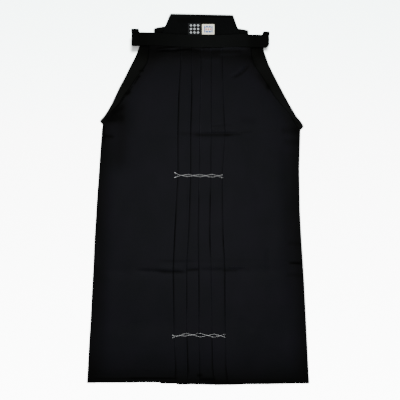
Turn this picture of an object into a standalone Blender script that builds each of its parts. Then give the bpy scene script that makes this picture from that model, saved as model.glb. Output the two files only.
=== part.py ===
"""Hakama trousers lying flat, front side up: pleated leg panels, waistband, back board and folded straps.

Metres. +X is to the right of the front, +Y points to the waist and +Z up, away from the surface it lies on.
Left and right in the names are the wearer's, so the right leg is at -X.

Every cloth panel is a wall of one thickness, carried through sections across the garment. A section is
worked out by laying the layers one on another: each layer rests on the pile below it, and a half circle
joins it to the next layer where the cloth turns back. Lengths in the tables are millimetres.
"""

import math
from collections import namedtuple

import bpy
import numpy as np

MM = 0.001

# The cloth, and the air between two layers of it
CLOTH = 1.1
AIR = 0.4
LAYER = CLOTH + AIR
SEAM = 0.35
FOLD_STEPS = 3

# Where the section lines cross the garment, from the waist to the hem
SECTIONS = (
    447, 438, 429, 419, 406, 385, 355, 328, 304, 280, 257, 243, 229, 217, 203, 191, 165,
    90, 0, -92, -180, -209, -240, -390, -505, -540,
)
BACK_SECTIONS = (447, 429, 406, 355, 257, 229, 217, 90, -92, -240, -390, -540)

# Side of a leg: the free edge of the lower layer of the side fold, and the fold itself. Down to the end of
# the side opening the lower layer shows outside the fold, and below it the seam allowance hides under it.
SideRow = namedtuple("SideRow", "y edge fold")
RIGHT_SIDE = (
    SideRow(447, -170.5, -142),
    SideRow(419, -184, -145),
    SideRow(398, -195.5, -151),
    SideRow(375, -207.5, -166),
    SideRow(351, -220, -184),
    SideRow(328, -232.5, -199),
    SideRow(304, -243.5, -218),
    SideRow(280, -255, -231),
    SideRow(257, -268, -255),
    SideRow(243, -277, -268),
    SideRow(229, -287, -278),
    SideRow(217, -268, -281.5),
    SideRow(115, -275, -289.5),
    SideRow(0, -282, -297),
    SideRow(-121, -290, -304.5),
    SideRow(-239, -295, -310),
    SideRow(-390, -303, -318),
    SideRow(-540, -311, -326),
)
LEFT_SIDE = (
    SideRow(447, 191, 153),
    SideRow(419, 199, 156),
    SideRow(398, 206, 162),
    SideRow(375, 217, 177),
    SideRow(351, 229, 193),
    SideRow(328, 241, 208),
    SideRow(304, 253.5, 223),
    SideRow(280, 266.5, 243),
    SideRow(257, 280, 265),
    SideRow(243, 288, 274),
    SideRow(229, 300, 281),
    SideRow(217, 308, 288),
    SideRow(203, 286, 300),
    SideRow(191, 284, 298.5),
    SideRow(90, 281.5, 296),
    SideRow(-33, 283, 298),
    SideRow(-121, 289, 303.5),
    SideRow(-239, 296, 310.5),
    SideRow(-390, 304, 318.5),
    SideRow(-540, 311, 326),
)

# Lower end of the side openings
OPENING_END = 217

# The five pleat lines of the front, counted from the right leg. Lines 1 to 3 are crests of the right leg
# and 4 and 5 of the left leg; all crests point to the middle.
PleatRow = namedtuple("PleatRow", "y line_1 line_2 line_3 line_4 line_5")
PLEATS = (
    PleatRow(447, -52, -20, 8, 39, 71),
    PleatRow(398, -52.5, -20.5, 8, 39, 71.5),
    PleatRow(304, -58.5, -20.5, 6, 38.5, 73),
    PleatRow(200, -61, -23.5, 4, 38, 79),
    PleatRow(70, -60.5, -23.5, 2.5, 37.5, 70.5),
    PleatRow(-92, -70, -28.5, -1, 34.5, 73),
    PleatRow(-209, -75, -35, 0.5, 37.5, 79),
    PleatRow(-390, -72, -35, 2, 40.5, 79.5),
    PleatRow(-490, -68, -32, 3, 43, 82),
    PleatRow(-540, -69, -32, 3.5, 49, 89),
)

# How deep the pleat nearest the side turns back under its crest, how far short of the line before it every
# other pleat stops, how far the cloth takes to climb from one level of the pile to the next, and how far
# the innermost layers run back beyond the first pleat to the inseam
FIRST_TURN = 27
STOPS_SHORT = 10
CLIMB = 8
INNER_BEYOND = 14

# The middle, where the two legs meet under the third pleat: the left leg is tucked under the right one
TUCK_X = -24.0
BACK_SEAM_X = -24.0
LEFT_STEP_X = 10.0

# Loft of the single top layer over the flat back panel between the pleats and the side
LoftRow = namedtuple("LoftRow", "x z")
LOFT = (
    LoftRow(-330, 1.5),
    LoftRow(-290, 2.8),
    LoftRow(-250, 4.2),
    LoftRow(-190, 4.9),
    LoftRow(0, 4.6),
    LoftRow(190, 4.9),
    LoftRow(245, 4.2),
    LoftRow(285, 2.8),
    LoftRow(330, 1.5),
)
STEEPEST_DRAPE = 0.3
TOP_DRAPE = 0.13
SIDE_TURN = 20
TOP_LAYER_POINTS = 4

# The two creases across the legs from being stored folded, which stay down where the cloth is lofted
CREASES = (191, -209)
CREASE_HALF = 30
CREASE_LOFT = 1.0
CREASE_FREE = (60, 15)

# Hem: its line, and how much shorter the inner layers are, and the tucked strip of the left leg, which is
# level with the hem where it leaves its pleat and shorter where it has climbed to its own level
HemRow = namedtuple("HemRow", "x y")
HEM = (
    HemRow(-326, -540.2),
    HemRow(-116, -540.4),
    HemRow(-108, -543),
    HemRow(-68, -543),
    HemRow(-58, -545.3),
    HemRow(-15, -544.9),
    HemRow(40, -546.3),
    HemRow(102, -546.2),
    HemRow(140, -544.6),
    HemRow(326, -541.6),
)
HEM_REACH = 110
SHORT_INNER = 6
SHORT_TUCKED = (0, 0, 14, 14)

# Waist: the board lies at a small tilt on the back straps, and everything above it follows
BOARD_TILT = 0.096
BOARD_THICK = 4.4
BoardRow = namedtuple("BoardRow", "y left right z_share")
BOARD = (
    BoardRow(546.2, -80.6, 101.6, 0.35),
    BoardRow(543.6, -83.0, 102.6, 1.0),
    BoardRow(528, -90.2, 108.6, 1.0),
    BoardRow(509, -99.0, 115.6, 1.0),
    BoardRow(488, -107.6, 124.0, 1.0),
    BoardRow(470, -115.4, 131.6, 1.0),
    BoardRow(459.6, -120.0, 136.0, 1.0),
    BoardRow(457.2, -120.6, 136.6, 0.35),
)
BOARD_TOP_SKEW = 4.0
BOARD_SKEW_FROM = 470
AcrossRow = namedtuple("AcrossRow", "share thick_share")
BOARD_ACROSS = (
    AcrossRow(0, 0.35),
    AcrossRow(0.012, 1),
    AcrossRow(0.25, 1),
    AcrossRow(0.5, 1),
    AcrossRow(0.75, 1),
    AcrossRow(0.988, 1),
    AcrossRow(1, 0.35),
)

# Band: its middle line from end to end, and how it sits
BAND_WIDE = 36.6
BAND_THICK = 2.4
BAND_LEFT = -196.6
BAND_RIGHT = 208.4
BAND_Y_LEFT = 470.9
BAND_Y_RIGHT = 465.2
BAND_DIP = 3.6
BAND_DIP_FROM = 50
BAND_DIP_TO = 135
BAND_TURN = 40
BAND_TURN_STEPS = 5
BAND_ACROSS = (
    AcrossRow(0, 0.4),
    AcrossRow(0.04, 1),
    AcrossRow(0.5, 1),
    AcrossRow(0.96, 1),
    AcrossRow(1, 0.4),
)
WAIST_FULL = 137.0
WAIST_FADE = 186.0
WAIST_PLACES = (0, 26, 52, 70, 86, 103, 120, 137, 146, 155, 165, 176, 186)
FRONT_REACH_END = 2.5
FRONT_REACH_MIDDLE = 8.3
FRONT_GAP = 0.6
FRONT_DROP_FROM = 447
FRONT_DROP_TO = 409
BACK_DROP_TO = 420

# Folded packs: layers of strap on each other
PACK_LAYERS = 3
FRONT_PACK_LAYER = 1.35
BACK_PACK_LAYER = 1.2
PACK_GROOVE = 1.3
PACK_ROUND = 0.15
EndRow = namedtuple("EndRow", "inset thick_share")
PACK_END = (EndRow(0, 0.3), EndRow(0.7, 0.8), EndRow(2, 1))
PackRow = namedtuple("PackRow", "x y_low y_high")
BACK_STRAP_RIGHT = (
    PackRow(-130.2, 469, 502),
    PackRow(-122, 470, 505),
    PackRow(-100, 471, 506),
    PackRow(-60, 470, 500),
    PackRow(-2, 470, 499),
)
BACK_STRAP_LEFT = (
    PackRow(146.5, 464, 497),
    PackRow(132, 466, 500),
    PackRow(112, 468, 503.5),
    PackRow(60, 470, 500),
    PackRow(0, 470, 499),
)

# The front straps: where each starts and ends along the band, and how far its first stretch stands proud
StrapRow = namedtuple("StrapRow", "start proud_to end proud")
FRONT_STRAP_RIGHT = StrapRow(-189.5, -173.5, -2, 9.8)
FRONT_STRAP_LEFT = StrapRow(201.5, 189.5, 2, 9.6)
PROUD_DROP = 0.85
PACK_BEHIND = 0.6

# The two labels on the board's face
LabelRow = namedtuple("LabelRow", "left right top bottom")
LABEL_DARK = LabelRow(-30.5, 8.0, 518.4, 483.8)
LABEL_PALE = LabelRow(9.6, 50.6, 517.8, 483.8)
LABEL_THICK = 0.6
LABEL_POINTS = 4

# Finish: linear colour and roughness
Finish = namedtuple("Finish", "colour roughness")
BLACK_CLOTH = Finish((0.010, 0.011, 0.014), 0.62)
STRAP_CLOTH = Finish((0.009, 0.010, 0.012), 0.60)
BOARD_CLOTH = Finish((0.005, 0.005, 0.006), 0.55)
DARK_LABEL = Finish((0.02, 0.02, 0.022), 0.7)
PALE_LABEL = Finish((0.72, 0.70, 0.62), 0.7)


def at(table, name, y):
    """Value of one column of a table at y, straight between its rows."""
    rows = sorted(table, key=lambda row: row[0])
    places = [row[0] for row in rows]
    values = [getattr(row, name) for row in rows]
    return float(np.interp(y, places, values))


def ease(start, end, value):
    """0 before start and 1 after end, with a soft S between."""
    share = np.clip((np.asarray(value, float) - start) / (end - start), 0, 1)
    return share * share * (3 - 2 * share)


def board_top(y):
    """Height of the board's upper face, which tilts up towards the legs."""
    return BOARD_THICK + BOARD_TILT * (BOARD[0].y - y)


def waist_fade(x):
    """1 over the board and 0 out at the ends of the band, where the waist comes down to the surface."""
    return 1 - ease(WAIST_FULL, WAIST_FADE, np.abs(x))


def waist_bed(x, y):
    """Height of what the folded straps lie on, across the waist."""
    return AIR + BAND_THICK + AIR + (board_top(y) - BAND_THICK - AIR) * waist_fade(x)


def band_middle(x):
    """Y of the band's middle line, which lies a degree off square and dips a little in the middle."""
    x = np.asarray(x, float)
    share = (x - BAND_LEFT) / (BAND_RIGHT - BAND_LEFT)
    dip = BAND_DIP * (1 - ease(BAND_DIP_FROM, BAND_DIP_TO, np.abs(x)))
    return BAND_Y_LEFT + (BAND_Y_RIGHT - BAND_Y_LEFT) * share - dip


def front_top(x):
    """Y of the front panels' top edge, just below the band."""
    return band_middle(x) - BAND_WIDE / 2 - FRONT_GAP


def front_rise(x, y, side):
    """How much the front is lifted: up to the band at the waist, and a little off its storage creases.

    side is the distance of the leg's side from the middle; towards it the loft comes down to the seam.
    """
    reach = FRONT_REACH_END + (FRONT_REACH_MIDDLE - FRONT_REACH_END) * waist_fade(x)
    pressed = sum(1 - ease(0, CREASE_HALF, np.abs(y - crease)) for crease in CREASES)
    free = 1 - ease(side - CREASE_FREE[0], side - CREASE_FREE[1], np.abs(x))
    return reach * ease(FRONT_DROP_TO, FRONT_DROP_FROM, y) + CREASE_LOFT * (1 - pressed) * free


def back_rise(y):
    """How much the back is lifted where it meets the lower edge of the board."""
    return (board_top(BOARD[-1].y) - BOARD_THICK) * ease(BACK_DROP_TO, BOARD[-1].y, y)


def back_edge(side_edge, corner, y):
    """X of a back panel's edge: straight from the board's lower corner to the end of the side opening."""
    share = max(0, y - OPENING_END) / (BOARD[-1].y - OPENING_END)
    return side_edge * (1 - share) + corner * share


class Pile:
    """The height of all that is laid so far, along one section line, from the back panels up."""

    STEP = 1.5

    def __init__(self):
        self.x = np.arange(-345, 345, self.STEP)
        self.top = np.full_like(self.x, CLOTH)
        self.apart = np.abs(self.x[:, None] - self.x[None, :])

    def cover(self, xs, zs):
        """Adds a layer whose middle runs through these points."""
        order = np.argsort(xs)
        covered = (self.x >= xs.min() - LAYER) & (self.x <= xs.max() + LAYER)
        surface = np.interp(self.x, xs[order], zs[order]) + CLOTH / 2
        self.top = np.where(covered, np.maximum(self.top, surface), self.top)

    def lay(self, xs, least=0.0, steepest=STEEPEST_DRAPE):
        """Heights of the middle of a layer through xs: it rests on the pile and then belongs to it.

        The cloth spans beside a step in the pile at its steepest drape. Every point starts at the highest
        support near it, and is then let down as far as the straight runs beside it stay clear.
        """
        order = np.argsort(xs)
        x = xs[order]
        least = np.broadcast_to(least, x.shape)
        support = (self.top[None, :] - steepest * self.apart).max(axis=1) + AIR + CLOTH / 2
        reach = np.concatenate([[x[0] - LAYER], x, [x[-1] + LAYER]])
        z = np.array([self.highest(support, reach[k], reach[k + 2]) for k in range(len(x))])
        z = np.maximum(z, least)
        for k in list(range(len(x))) * 3:
            lowest = max(np.interp(x[k], self.x, support), least[k])
            for beside in (k - 1, k + 1):
                if 0 <= beside < len(x):
                    lowest = max(lowest, self.clears(support, x[k], x[beside], z[beside]))
                else:
                    lowest = max(lowest, self.highest(support, x[k] - LAYER, x[k] + LAYER))
            z[k] = lowest
        found = np.empty_like(z)
        found[order] = z
        self.cover(xs, found)
        return found

    def highest(self, support, start, end):
        """Highest support between two places."""
        places = np.linspace(start, end, 2 + int((end - start) / self.STEP))
        return float(np.interp(places, self.x, support).max())

    def clears(self, support, place, beside, beside_z):
        """Least height at place for which the straight run to the point beside it clears the support."""
        share = np.linspace(0.1, 1, 12)
        heights = np.interp(beside + (place - beside) * share, self.x, support)
        return float(((heights - beside_z * (1 - share)) / share).max())


def turn(x, z_from, z_to, out, steps=FOLD_STEPS):
    """Half circle that joins two layers at x, bulging to out; its first and last points are left out."""
    angles = np.linspace(0, math.pi, steps + 1)[1:-1]
    radius = abs(z_to - z_from) / 2
    middle = (z_from + z_to) / 2
    return [(x + out * radius * math.sin(a), middle + (z_from - middle) * math.cos(a)) for a in angles]


def inside(line, out):
    """X of a fold's straight ends, so that the outside of the fold is on the line."""
    return line - out * (LAYER / 2 + CLOTH / 2)


def inseam_x(crest, out):
    """X of the inseam, where the innermost layers of the front and the back of a leg meet."""
    return inside(crest, out) - out * (FIRST_TURN + INNER_BEYOND)


def front_section(pile, out, side, crests, step):
    """Middle line of one front panel at one section, from its side to the inseam.

    out is +1 for the right leg, whose crests point to +X, and -1 for the left leg. side has the edge and
    the fold at the side, and step is where the pile under the innermost layer changes its level. The
    result is a list of (layer name, xs, zs).
    """
    crest_x = [inside(crest, out) for crest in crests]
    deep_x = [crest_x[0] - out * FIRST_TURN, crest_x[0] + out * STOPS_SHORT, step]
    fold_x = inside(side.fold, -out)
    side_deep = fold_x + out * SIDE_TURN
    step_high = step - out * LAYER
    layers = {"inner": np.array([crest_x[2], step_high, step_high - out * CLIMB, inseam_x(crests[0], out)])}
    for k in (2, 1):
        high = deep_x[k] - out * LAYER
        layers[f"strip_{k}"] = np.array([deep_x[k - 1], high - out * CLIMB, high, crest_x[k]])
        layers[f"back_{k}"] = np.array([crest_x[k - 1], deep_x[k - 1]])
    layers["lower"] = np.array([side.edge, side_deep])
    layers["middle"] = np.array([side_deep, fold_x])
    high = deep_x[0] - out * LAYER
    free = np.linspace(side_deep + out * LAYER, high - out * CLIMB, TOP_LAYER_POINTS)
    layers["strip_0"] = np.concatenate([[fold_x], free, [high, crest_x[0]]])

    heights = {}
    for name in ("inner", "strip_2", "back_2", "strip_1", "back_1", "lower", "middle", "strip_0"):
        xs = layers[name]
        if name == "strip_0":
            loft = np.interp(np.sort(xs), [row.x for row in LOFT], [row.z for row in LOFT])
            heights[name] = pile.lay(xs, loft + CLOTH / 2, TOP_DRAPE)
        else:
            heights[name] = pile.lay(xs)
    order = ("lower", "middle", "strip_0", "back_1", "strip_1", "back_2", "strip_2", "inner")
    return [(name, layers[name], heights[name]) for name in order]


def joined(layers, out, shorts):
    """One line through layers and the half circles between them, as rows of (x, z, short)."""
    points = []
    for n, (name, xs, zs) in enumerate(layers):
        short = np.broadcast_to(shorts.get(name, 0), len(xs))
        points += list(zip(xs, zs, short))
        if n + 1 < len(layers):
            bulge = out if n % 2 == 0 else -out
            points += [(x, z, short[-1]) for x, z in turn(xs[-1], zs[-1], layers[n + 1][2][0], bulge)]
    return points


def back_section(pile, out, edge, seam, inseam):
    """Middle line of one back panel: flat on the surface, then turned up and back inside the leg."""
    seam_x = inside(seam, out)
    flat = np.linspace(edge, seam_x, 4)
    flat_z = np.full(len(flat), CLOTH / 2)
    inner_xs = np.linspace(seam_x, inseam, 3)
    inner_z = np.full(len(inner_xs), CLOTH / 2 + LAYER)
    pile.cover(flat, flat_z)
    pile.cover(inner_xs, inner_z)
    return joined([("flat", flat, flat_z), ("inner", inner_xs, inner_z)], out, {"inner": SHORT_INNER})


def hem_y(x, y, short):
    """Y of a point near the hem, whose line isn't quite square."""
    hem = np.interp(x, [row.x for row in HEM], [row.y for row in HEM]) + short
    return y + (hem - SECTIONS[-1]) * (1 - ease(SECTIONS[-1], SECTIONS[-1] + HEM_REACH, y))


def front_points(points, y, side):
    """Points of a front section in space, brought up to the band and down to the hem."""
    x, z, short = np.array(points).T
    new_y = hem_y(x, y, short) + (front_top(x) - SECTIONS[0]) * ease(SECTIONS[4], SECTIONS[0], y)
    return np.column_stack([x, new_y, z + front_rise(x, y, side)])


def back_points(points, y):
    """Points of a back section in space, brought up to the board and down to the hem."""
    x, z, short = np.array(points).T
    top = BOARD[-1].y - SEAM
    new_y = hem_y(x, y, short) + (top - SECTIONS[0]) * ease(BACK_SECTIONS[3], SECTIONS[0], y)
    return np.column_stack([x, new_y, z + back_rise(new_y)])


def leg_panels():
    """Middle lines of the four leg panels, as arrays of sections by points by (x, y, z)."""
    names = ("back_left_leg", "back_right_leg", "front_left_leg", "front_right_leg")
    found = {name: [] for name in names}
    for y in SECTIONS:
        pile = Pile()
        pleat = PleatRow(*(at(PLEATS, name, y) for name in PleatRow._fields))
        left = SideRow(*(at(LEFT_SIDE, name, y) for name in SideRow._fields))
        right = SideRow(*(at(RIGHT_SIDE, name, y) for name in SideRow._fields))
        left_back = back_edge(left.fold, BOARD[-1].right, y) - SEAM
        right_back = back_edge(right.fold, BOARD[-1].left, y) + SEAM
        left_inseam = inseam_x(pleat.line_5, -1)
        right_inseam = inseam_x(pleat.line_1, 1)
        back_left = back_section(pile, -1, left_back, BACK_SEAM_X, left_inseam)
        back_right = back_section(pile, 1, right_back, BACK_SEAM_X - SEAM, right_inseam)
        left_crests = (pleat.line_5, pleat.line_4, TUCK_X)
        right_crests = (pleat.line_1, pleat.line_2, pleat.line_3)
        front_left = front_section(pile, -1, left, left_crests, LEFT_STEP_X)
        front_right = front_section(pile, 1, right, right_crests, TUCK_X)
        left_line = joined(front_left, -1, {"inner": SHORT_INNER, "strip_2": SHORT_TUCKED})
        right_line = joined(front_right, 1, {"inner": SHORT_INNER})
        found["front_left_leg"].append(front_points(left_line, y, abs(left.fold)))
        found["front_right_leg"].append(front_points(right_line, y, abs(right.fold)))
        if y in BACK_SECTIONS:
            found["back_left_leg"].append(back_points(back_left, y))
            found["back_right_leg"].append(back_points(back_right, y))
    return {name: np.array(rows) for name, rows in found.items()}


def wall_mesh(name, middle, thick):
    """Closed wall around a grid of middle points, rows by points by xyz, offset inside each row's plane.

    thick is one number or an array of rows by points. The offset is along the normal in the plane of the
    row, lengthened at bends so that the wall keeps its thickness.
    """
    rows, count, _ = middle.shape
    thick = np.broadcast_to(thick, (rows, count))
    along = np.diff(middle[:, :, [0, 2]], axis=1)
    along = along / np.linalg.norm(along, axis=2, keepdims=True)
    normal = np.stack([-along[:, :, 1], along[:, :, 0]], axis=2)
    first = np.concatenate([normal[:, :1], normal], axis=1)
    second = np.concatenate([normal, normal[:, -1:]], axis=1)
    mean = first + second
    mean = mean / np.linalg.norm(mean, axis=2, keepdims=True)
    stretch = 1 / np.clip((mean * first).sum(axis=2), 0.5, 1)
    shift = np.zeros_like(middle)
    shift[:, :, 0] = mean[:, :, 0] * stretch * thick / 2
    shift[:, :, 2] = mean[:, :, 1] * stretch * thick / 2
    ring = np.concatenate([middle + shift, (middle - shift)[:, ::-1]], axis=1)
    return lofted(name, ring)


def lofted(name, rings):
    """Closed solid through rings of points that are walls: point k faces point -1-k across the wall.

    Every patch between two rows is split from its point with the least X in the one to its point with the
    greatest in the other, so that the faces of layers that lie on each other bend alike and never cross.
    """
    rows, around, _ = rings.shape
    index = np.arange(rows * around).reshape(rows, around)
    after = np.roll(index, -1, axis=1)
    corners = (index[:-1], after[:-1], after[1:], index[1:])
    rising = rings[:-1, :, 0] < np.roll(rings[:-1, :, 0], -1, axis=1)
    split = ((0, 1, 2), (0, 2, 3)), ((0, 1, 3), (1, 2, 3))
    sides = []
    for place, trio in ((rising, split[0]), (~rising, split[1])):
        for three in trio:
            sides.append(np.column_stack([corners[k][place] for k in three]))
    half = around // 2
    outer = index[:, :half]
    inner = index[:, ::-1][:, :half]
    caps = []
    for row, flip in ((0, False), (rows - 1, True)):
        quads = np.stack([outer[row, :-1], inner[row, :-1], inner[row, 1:], outer[row, 1:]], axis=1)
        caps.append(quads[:, ::-1] if flip else quads)
    faces = [face for group in (*sides, *caps) for face in group.tolist()]
    mesh = bpy.data.meshes.new(name)
    mesh.from_pydata((rings.reshape(-1, 3) * MM).tolist(), [], faces)
    if volume(mesh) < 0:
        mesh.flip_normals()
    mesh.validate()
    return mesh


def volume(mesh):
    """Signed volume: positive when the faces point out."""
    total = 0.0
    mesh.calc_loop_triangles()
    for triangle in mesh.loop_triangles:
        a, b, c = (mesh.vertices[i].co for i in triangle.vertices)
        total += a.dot(b.cross(c)) / 6
    return total


def add(name, mesh, material):
    """Object of one sub-part, shaded smooth but for its sharp edges."""
    mesh.materials.append(material)
    mesh.shade_smooth()
    mesh.set_sharp_from_angle(angle=math.radians(50))
    item = bpy.data.objects.new(name, mesh)
    bpy.context.scene.collection.objects.link(item)
    return item


def material(name, finish):
    """Principled material of one finish."""
    made = bpy.data.materials.new(name)
    made.use_nodes = True
    shader = made.node_tree.nodes["Principled BSDF"]
    shader.inputs["Base Color"].default_value = (*finish.colour, 1)
    shader.inputs["Roughness"].default_value = finish.roughness
    shader.inputs["Metallic"].default_value = 0
    return made


def board():
    """The board: a plate with rounded edges, wider towards the legs and tilted on the straps under it."""
    across = np.array([row.share for row in BOARD_ACROSS])
    edge = np.array([row.thick_share for row in BOARD_ACROSS])
    rows = []
    thick = []
    for row in BOARD:
        x = row.left + (row.right - row.left) * across
        skew = BOARD_TOP_SKEW * across * ease(BOARD_SKEW_FROM, BOARD[0].y, row.y)
        y = row.y - skew
        z = board_top(y) - BOARD_THICK / 2
        rows.append(np.column_stack([x, y, z]))
        thick.append(BOARD_THICK * row.z_share * edge)
    return wall_mesh("back_board", np.array(rows), np.array(thick))


def label(name, place):
    """A label: a thin patch that follows the board's face."""
    xs = np.linspace(place.left, place.right, LABEL_POINTS)
    rows = []
    for y in np.linspace(place.top, place.bottom, LABEL_POINTS):
        z = np.full(LABEL_POINTS, board_top(y) + AIR + LABEL_THICK / 2)
        rows.append(np.column_stack([xs, np.full(LABEL_POINTS, y), z]))
    return wall_mesh(name, np.array(rows), LABEL_THICK)


def waist_stations(start, end):
    """Places along X that the band and the packs share, so that they lie on each other without crossing."""
    steps = np.array(WAIST_PLACES, float)
    places = np.unique(np.concatenate([-steps, steps]))
    return places[(places > min(start, end)) & (places < max(start, end))]


def band():
    """The band: one flat strip that lies over the folded straps and turns under them at both ends."""
    rows = np.array([band_line((row.share - 0.5) * BAND_WIDE) for row in BAND_ACROSS])
    edge = np.array([row.thick_share for row in BAND_ACROSS])
    thick = BAND_THICK * np.repeat(edge[:, None], rows.shape[1], axis=1)
    return wall_mesh("front_band", rows, thick)


def band_line(offset):
    """One line along the band: under run, turn, top run, turn, under run."""
    low = AIR / 2 + BAND_THICK / 2
    high = low + BAND_THICK + 2 * AIR + PACK_LAYERS * FRONT_PACK_LAYER
    radius = (high - low) / 2
    start = BAND_LEFT + BAND_THICK / 2 + radius
    end = BAND_RIGHT - BAND_THICK / 2 - radius
    inner = waist_stations(start, end)
    top_x = np.concatenate([[start], inner, [end]])
    top_y = band_middle(top_x) + offset
    top_z = waist_bed(top_x, top_y) + high - low - BAND_THICK / 2
    points = [(BAND_LEFT + BAND_TURN, low), (start, low)]
    points += turn(start, low, top_z[0], -1, BAND_TURN_STEPS)
    points += list(zip(top_x, top_z))
    points += turn(end, top_z[-1], low, 1, BAND_TURN_STEPS)
    points += [(end, low), (BAND_RIGHT - BAND_TURN, low)]
    x, z = np.array(points).T
    return np.column_stack([x, band_middle(x) + offset, z])


def pack(name, rows, layer, bed):
    """A folded strap: one rounded solid, with a groove at its edges between every two layers.

    rows give its two edges at some places along X, and bed(x, y) is the height that it lies on. It grows
    thinner at the first and last rows, where the strap turns back.
    """
    step = math.copysign(1.0, rows[-1].x - rows[0].x)
    places = [(rows[0].x + end.inset * step, end.thick_share) for end in PACK_END]
    places += [(row.x, 1.0) for row in rows[1:-1]]
    places += [(rows[-1].x - end.inset * step, end.thick_share) for end in reversed(PACK_END)]
    side = [(PACK_GROOVE, 0.0)]
    for k in range(PACK_LAYERS):
        side += [(PACK_ROUND, k + 0.25), (PACK_ROUND, k + 0.75), (PACK_GROOVE, k + 1.0)]
    inset, level = np.array(side).T
    rings = []
    for x, share in places:
        height = layer * (PACK_LAYERS / 2 + (level - PACK_LAYERS / 2) * share)
        low = np.column_stack([np.full_like(inset, x), at(rows, "y_low", x) + inset, height])
        high = np.column_stack([np.full_like(inset, x), at(rows, "y_high", x) - inset, height])
        ring = np.concatenate([low, high[::-1]])
        ring[:, 2] += bed(ring[:, 0], ring[:, 1])
        rings.append(ring)
    return lofted(name, np.array(rings))


def front_pack(name, strap):
    """One front strap folded behind the band; its outer fold stands proud of the band's upper edge."""
    reach = strap.proud_to - strap.start
    places = [strap.start, strap.start + reach * PROUD_DROP, strap.proud_to]
    places += sorted(waist_stations(strap.proud_to, strap.end), key=lambda x: abs(x - strap.start))
    places += [strap.end]
    half = BAND_WIDE / 2 - PACK_BEHIND
    rows = []
    for x in places:
        proud = strap.proud if abs(x - strap.start) < abs(reach) else 0
        middle = float(band_middle(x))
        rows.append(PackRow(x, middle - half, middle + half + proud))
    return pack(name, rows, FRONT_PACK_LAYER, waist_bed)


def on_surface(x, y):
    """Height of the surface that the garment lies on."""
    return np.zeros_like(x)


def clear_scene():
    for item in list(bpy.data.objects):
        bpy.data.objects.remove(item, do_unlink=True)


def main():
    clear_scene()
    cloth = material("black_cloth", BLACK_CLOTH)
    strap = material("strap_cloth", STRAP_CLOTH)
    cover = material("board_cloth", BOARD_CLOTH)
    dark = material("dark_label", DARK_LABEL)
    pale = material("pale_label", PALE_LABEL)
    for name, middle in leg_panels().items():
        add(name, wall_mesh(name, middle, CLOTH), cloth)
    add("front_band", band(), strap)
    add("front_strap_right", front_pack("front_strap_right", FRONT_STRAP_RIGHT), strap)
    add("front_strap_left", front_pack("front_strap_left", FRONT_STRAP_LEFT), strap)
    add("back_strap_right", pack("back_strap_right", BACK_STRAP_RIGHT, BACK_PACK_LAYER, on_surface), strap)
    add("back_strap_left", pack("back_strap_left", BACK_STRAP_LEFT, BACK_PACK_LAYER, on_surface), strap)
    add("back_board", board(), cover)
    add("label_dark", label("label_dark", LABEL_DARK), dark)
    add("label_pale", label("label_pale", LABEL_PALE), pale)


main()
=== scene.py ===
# %% [markdown]
# # Hakama trousers, laid flat
# Hakama are wide pleated trousers. Each leg is a flattened tube: a front panel folded into deep pleats lies
# over a plain back panel, and the wearer's right leg lies over the left one at the middle. The front is
# gathered into a long band. The back ends in a stiff board with straps of its own.
#
# The packed solids already have that build at real size. This file gives every one of them a finer form
# and its real finish: the same sections, worked out on a much closer grid, with the creases, lifted crests
# and soft hollows that pressed cloth has.

import math
from collections import namedtuple

import bpy
import numpy as np
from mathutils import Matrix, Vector


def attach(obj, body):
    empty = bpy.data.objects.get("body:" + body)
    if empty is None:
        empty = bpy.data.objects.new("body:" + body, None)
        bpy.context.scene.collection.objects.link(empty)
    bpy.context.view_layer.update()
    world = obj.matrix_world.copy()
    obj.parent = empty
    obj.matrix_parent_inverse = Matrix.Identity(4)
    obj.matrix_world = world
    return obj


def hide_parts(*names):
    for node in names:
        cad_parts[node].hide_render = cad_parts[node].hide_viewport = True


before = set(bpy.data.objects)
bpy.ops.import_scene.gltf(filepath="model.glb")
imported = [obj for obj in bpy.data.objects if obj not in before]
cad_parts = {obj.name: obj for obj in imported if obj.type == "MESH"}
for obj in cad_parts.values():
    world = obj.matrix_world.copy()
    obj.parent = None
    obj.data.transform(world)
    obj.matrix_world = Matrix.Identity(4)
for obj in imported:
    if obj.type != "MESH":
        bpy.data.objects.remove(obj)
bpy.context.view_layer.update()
print("nodes:", ", ".join(sorted(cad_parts)))

# %% [markdown]
# ## Where we look from
# The garment lies on a table and is seen from straight above, with the waist at the top. A near camera with
# a short lens would show the same width, but the sides of the band and the hem would lean. A long lens far
# away keeps the view free of perspective, so that the side seams stay straight.

# %% Camera
MM = 0.001
VIEW_WIDE = 1.18
VIEW_LEVEL = 0.005
VIEW_CENTRE = (0.0049, -0.0030)
LENS = 135
SENSOR = 36


def linked(name, data):
    """New object in the scene that shows a camera, a lamp or a mesh."""
    item = bpy.data.objects.new(name, data)
    bpy.context.scene.collection.objects.link(item)
    return item


def overhead_camera():
    """Camera that looks straight down: its height is view width times focal length over sensor width."""
    data = bpy.data.cameras.new("overhead")
    data.lens = LENS
    data.sensor_width = SENSOR
    camera = linked("overhead", data)
    camera.location = (*VIEW_CENTRE, VIEW_LEVEL + VIEW_WIDE * LENS / SENSOR)
    bpy.context.scene.camera = camera
    return camera


print("camera height:", round(overhead_camera().location.z, 3), "m")

# %% [markdown]
# ## Light
# Black cloth is hard to light: it shows its folds only by the little that its fibres reflect. A sun or a
# small lamp would draw hard lines across the pleats. A broad lamp hangs overhead instead, so that cloth
# lying level is palest and every slope, crest and crease falls off into dark. A weaker one beyond the waist
# gives the shadows their side, and a pale sky keeps them soft.

# %% Lamps
Lamp = namedtuple("Lamp", "name place aim size watts")
LAMPS = (
    Lamp("overhead", (0.0, -0.02, 1.25), (0.0, 0.0, 0.0), 0.7, 14.3),
    Lamp("window", (-0.2, 2.2, 2.2), (0.0, 0.1, 0.0), 1.2, 55),
)


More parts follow.
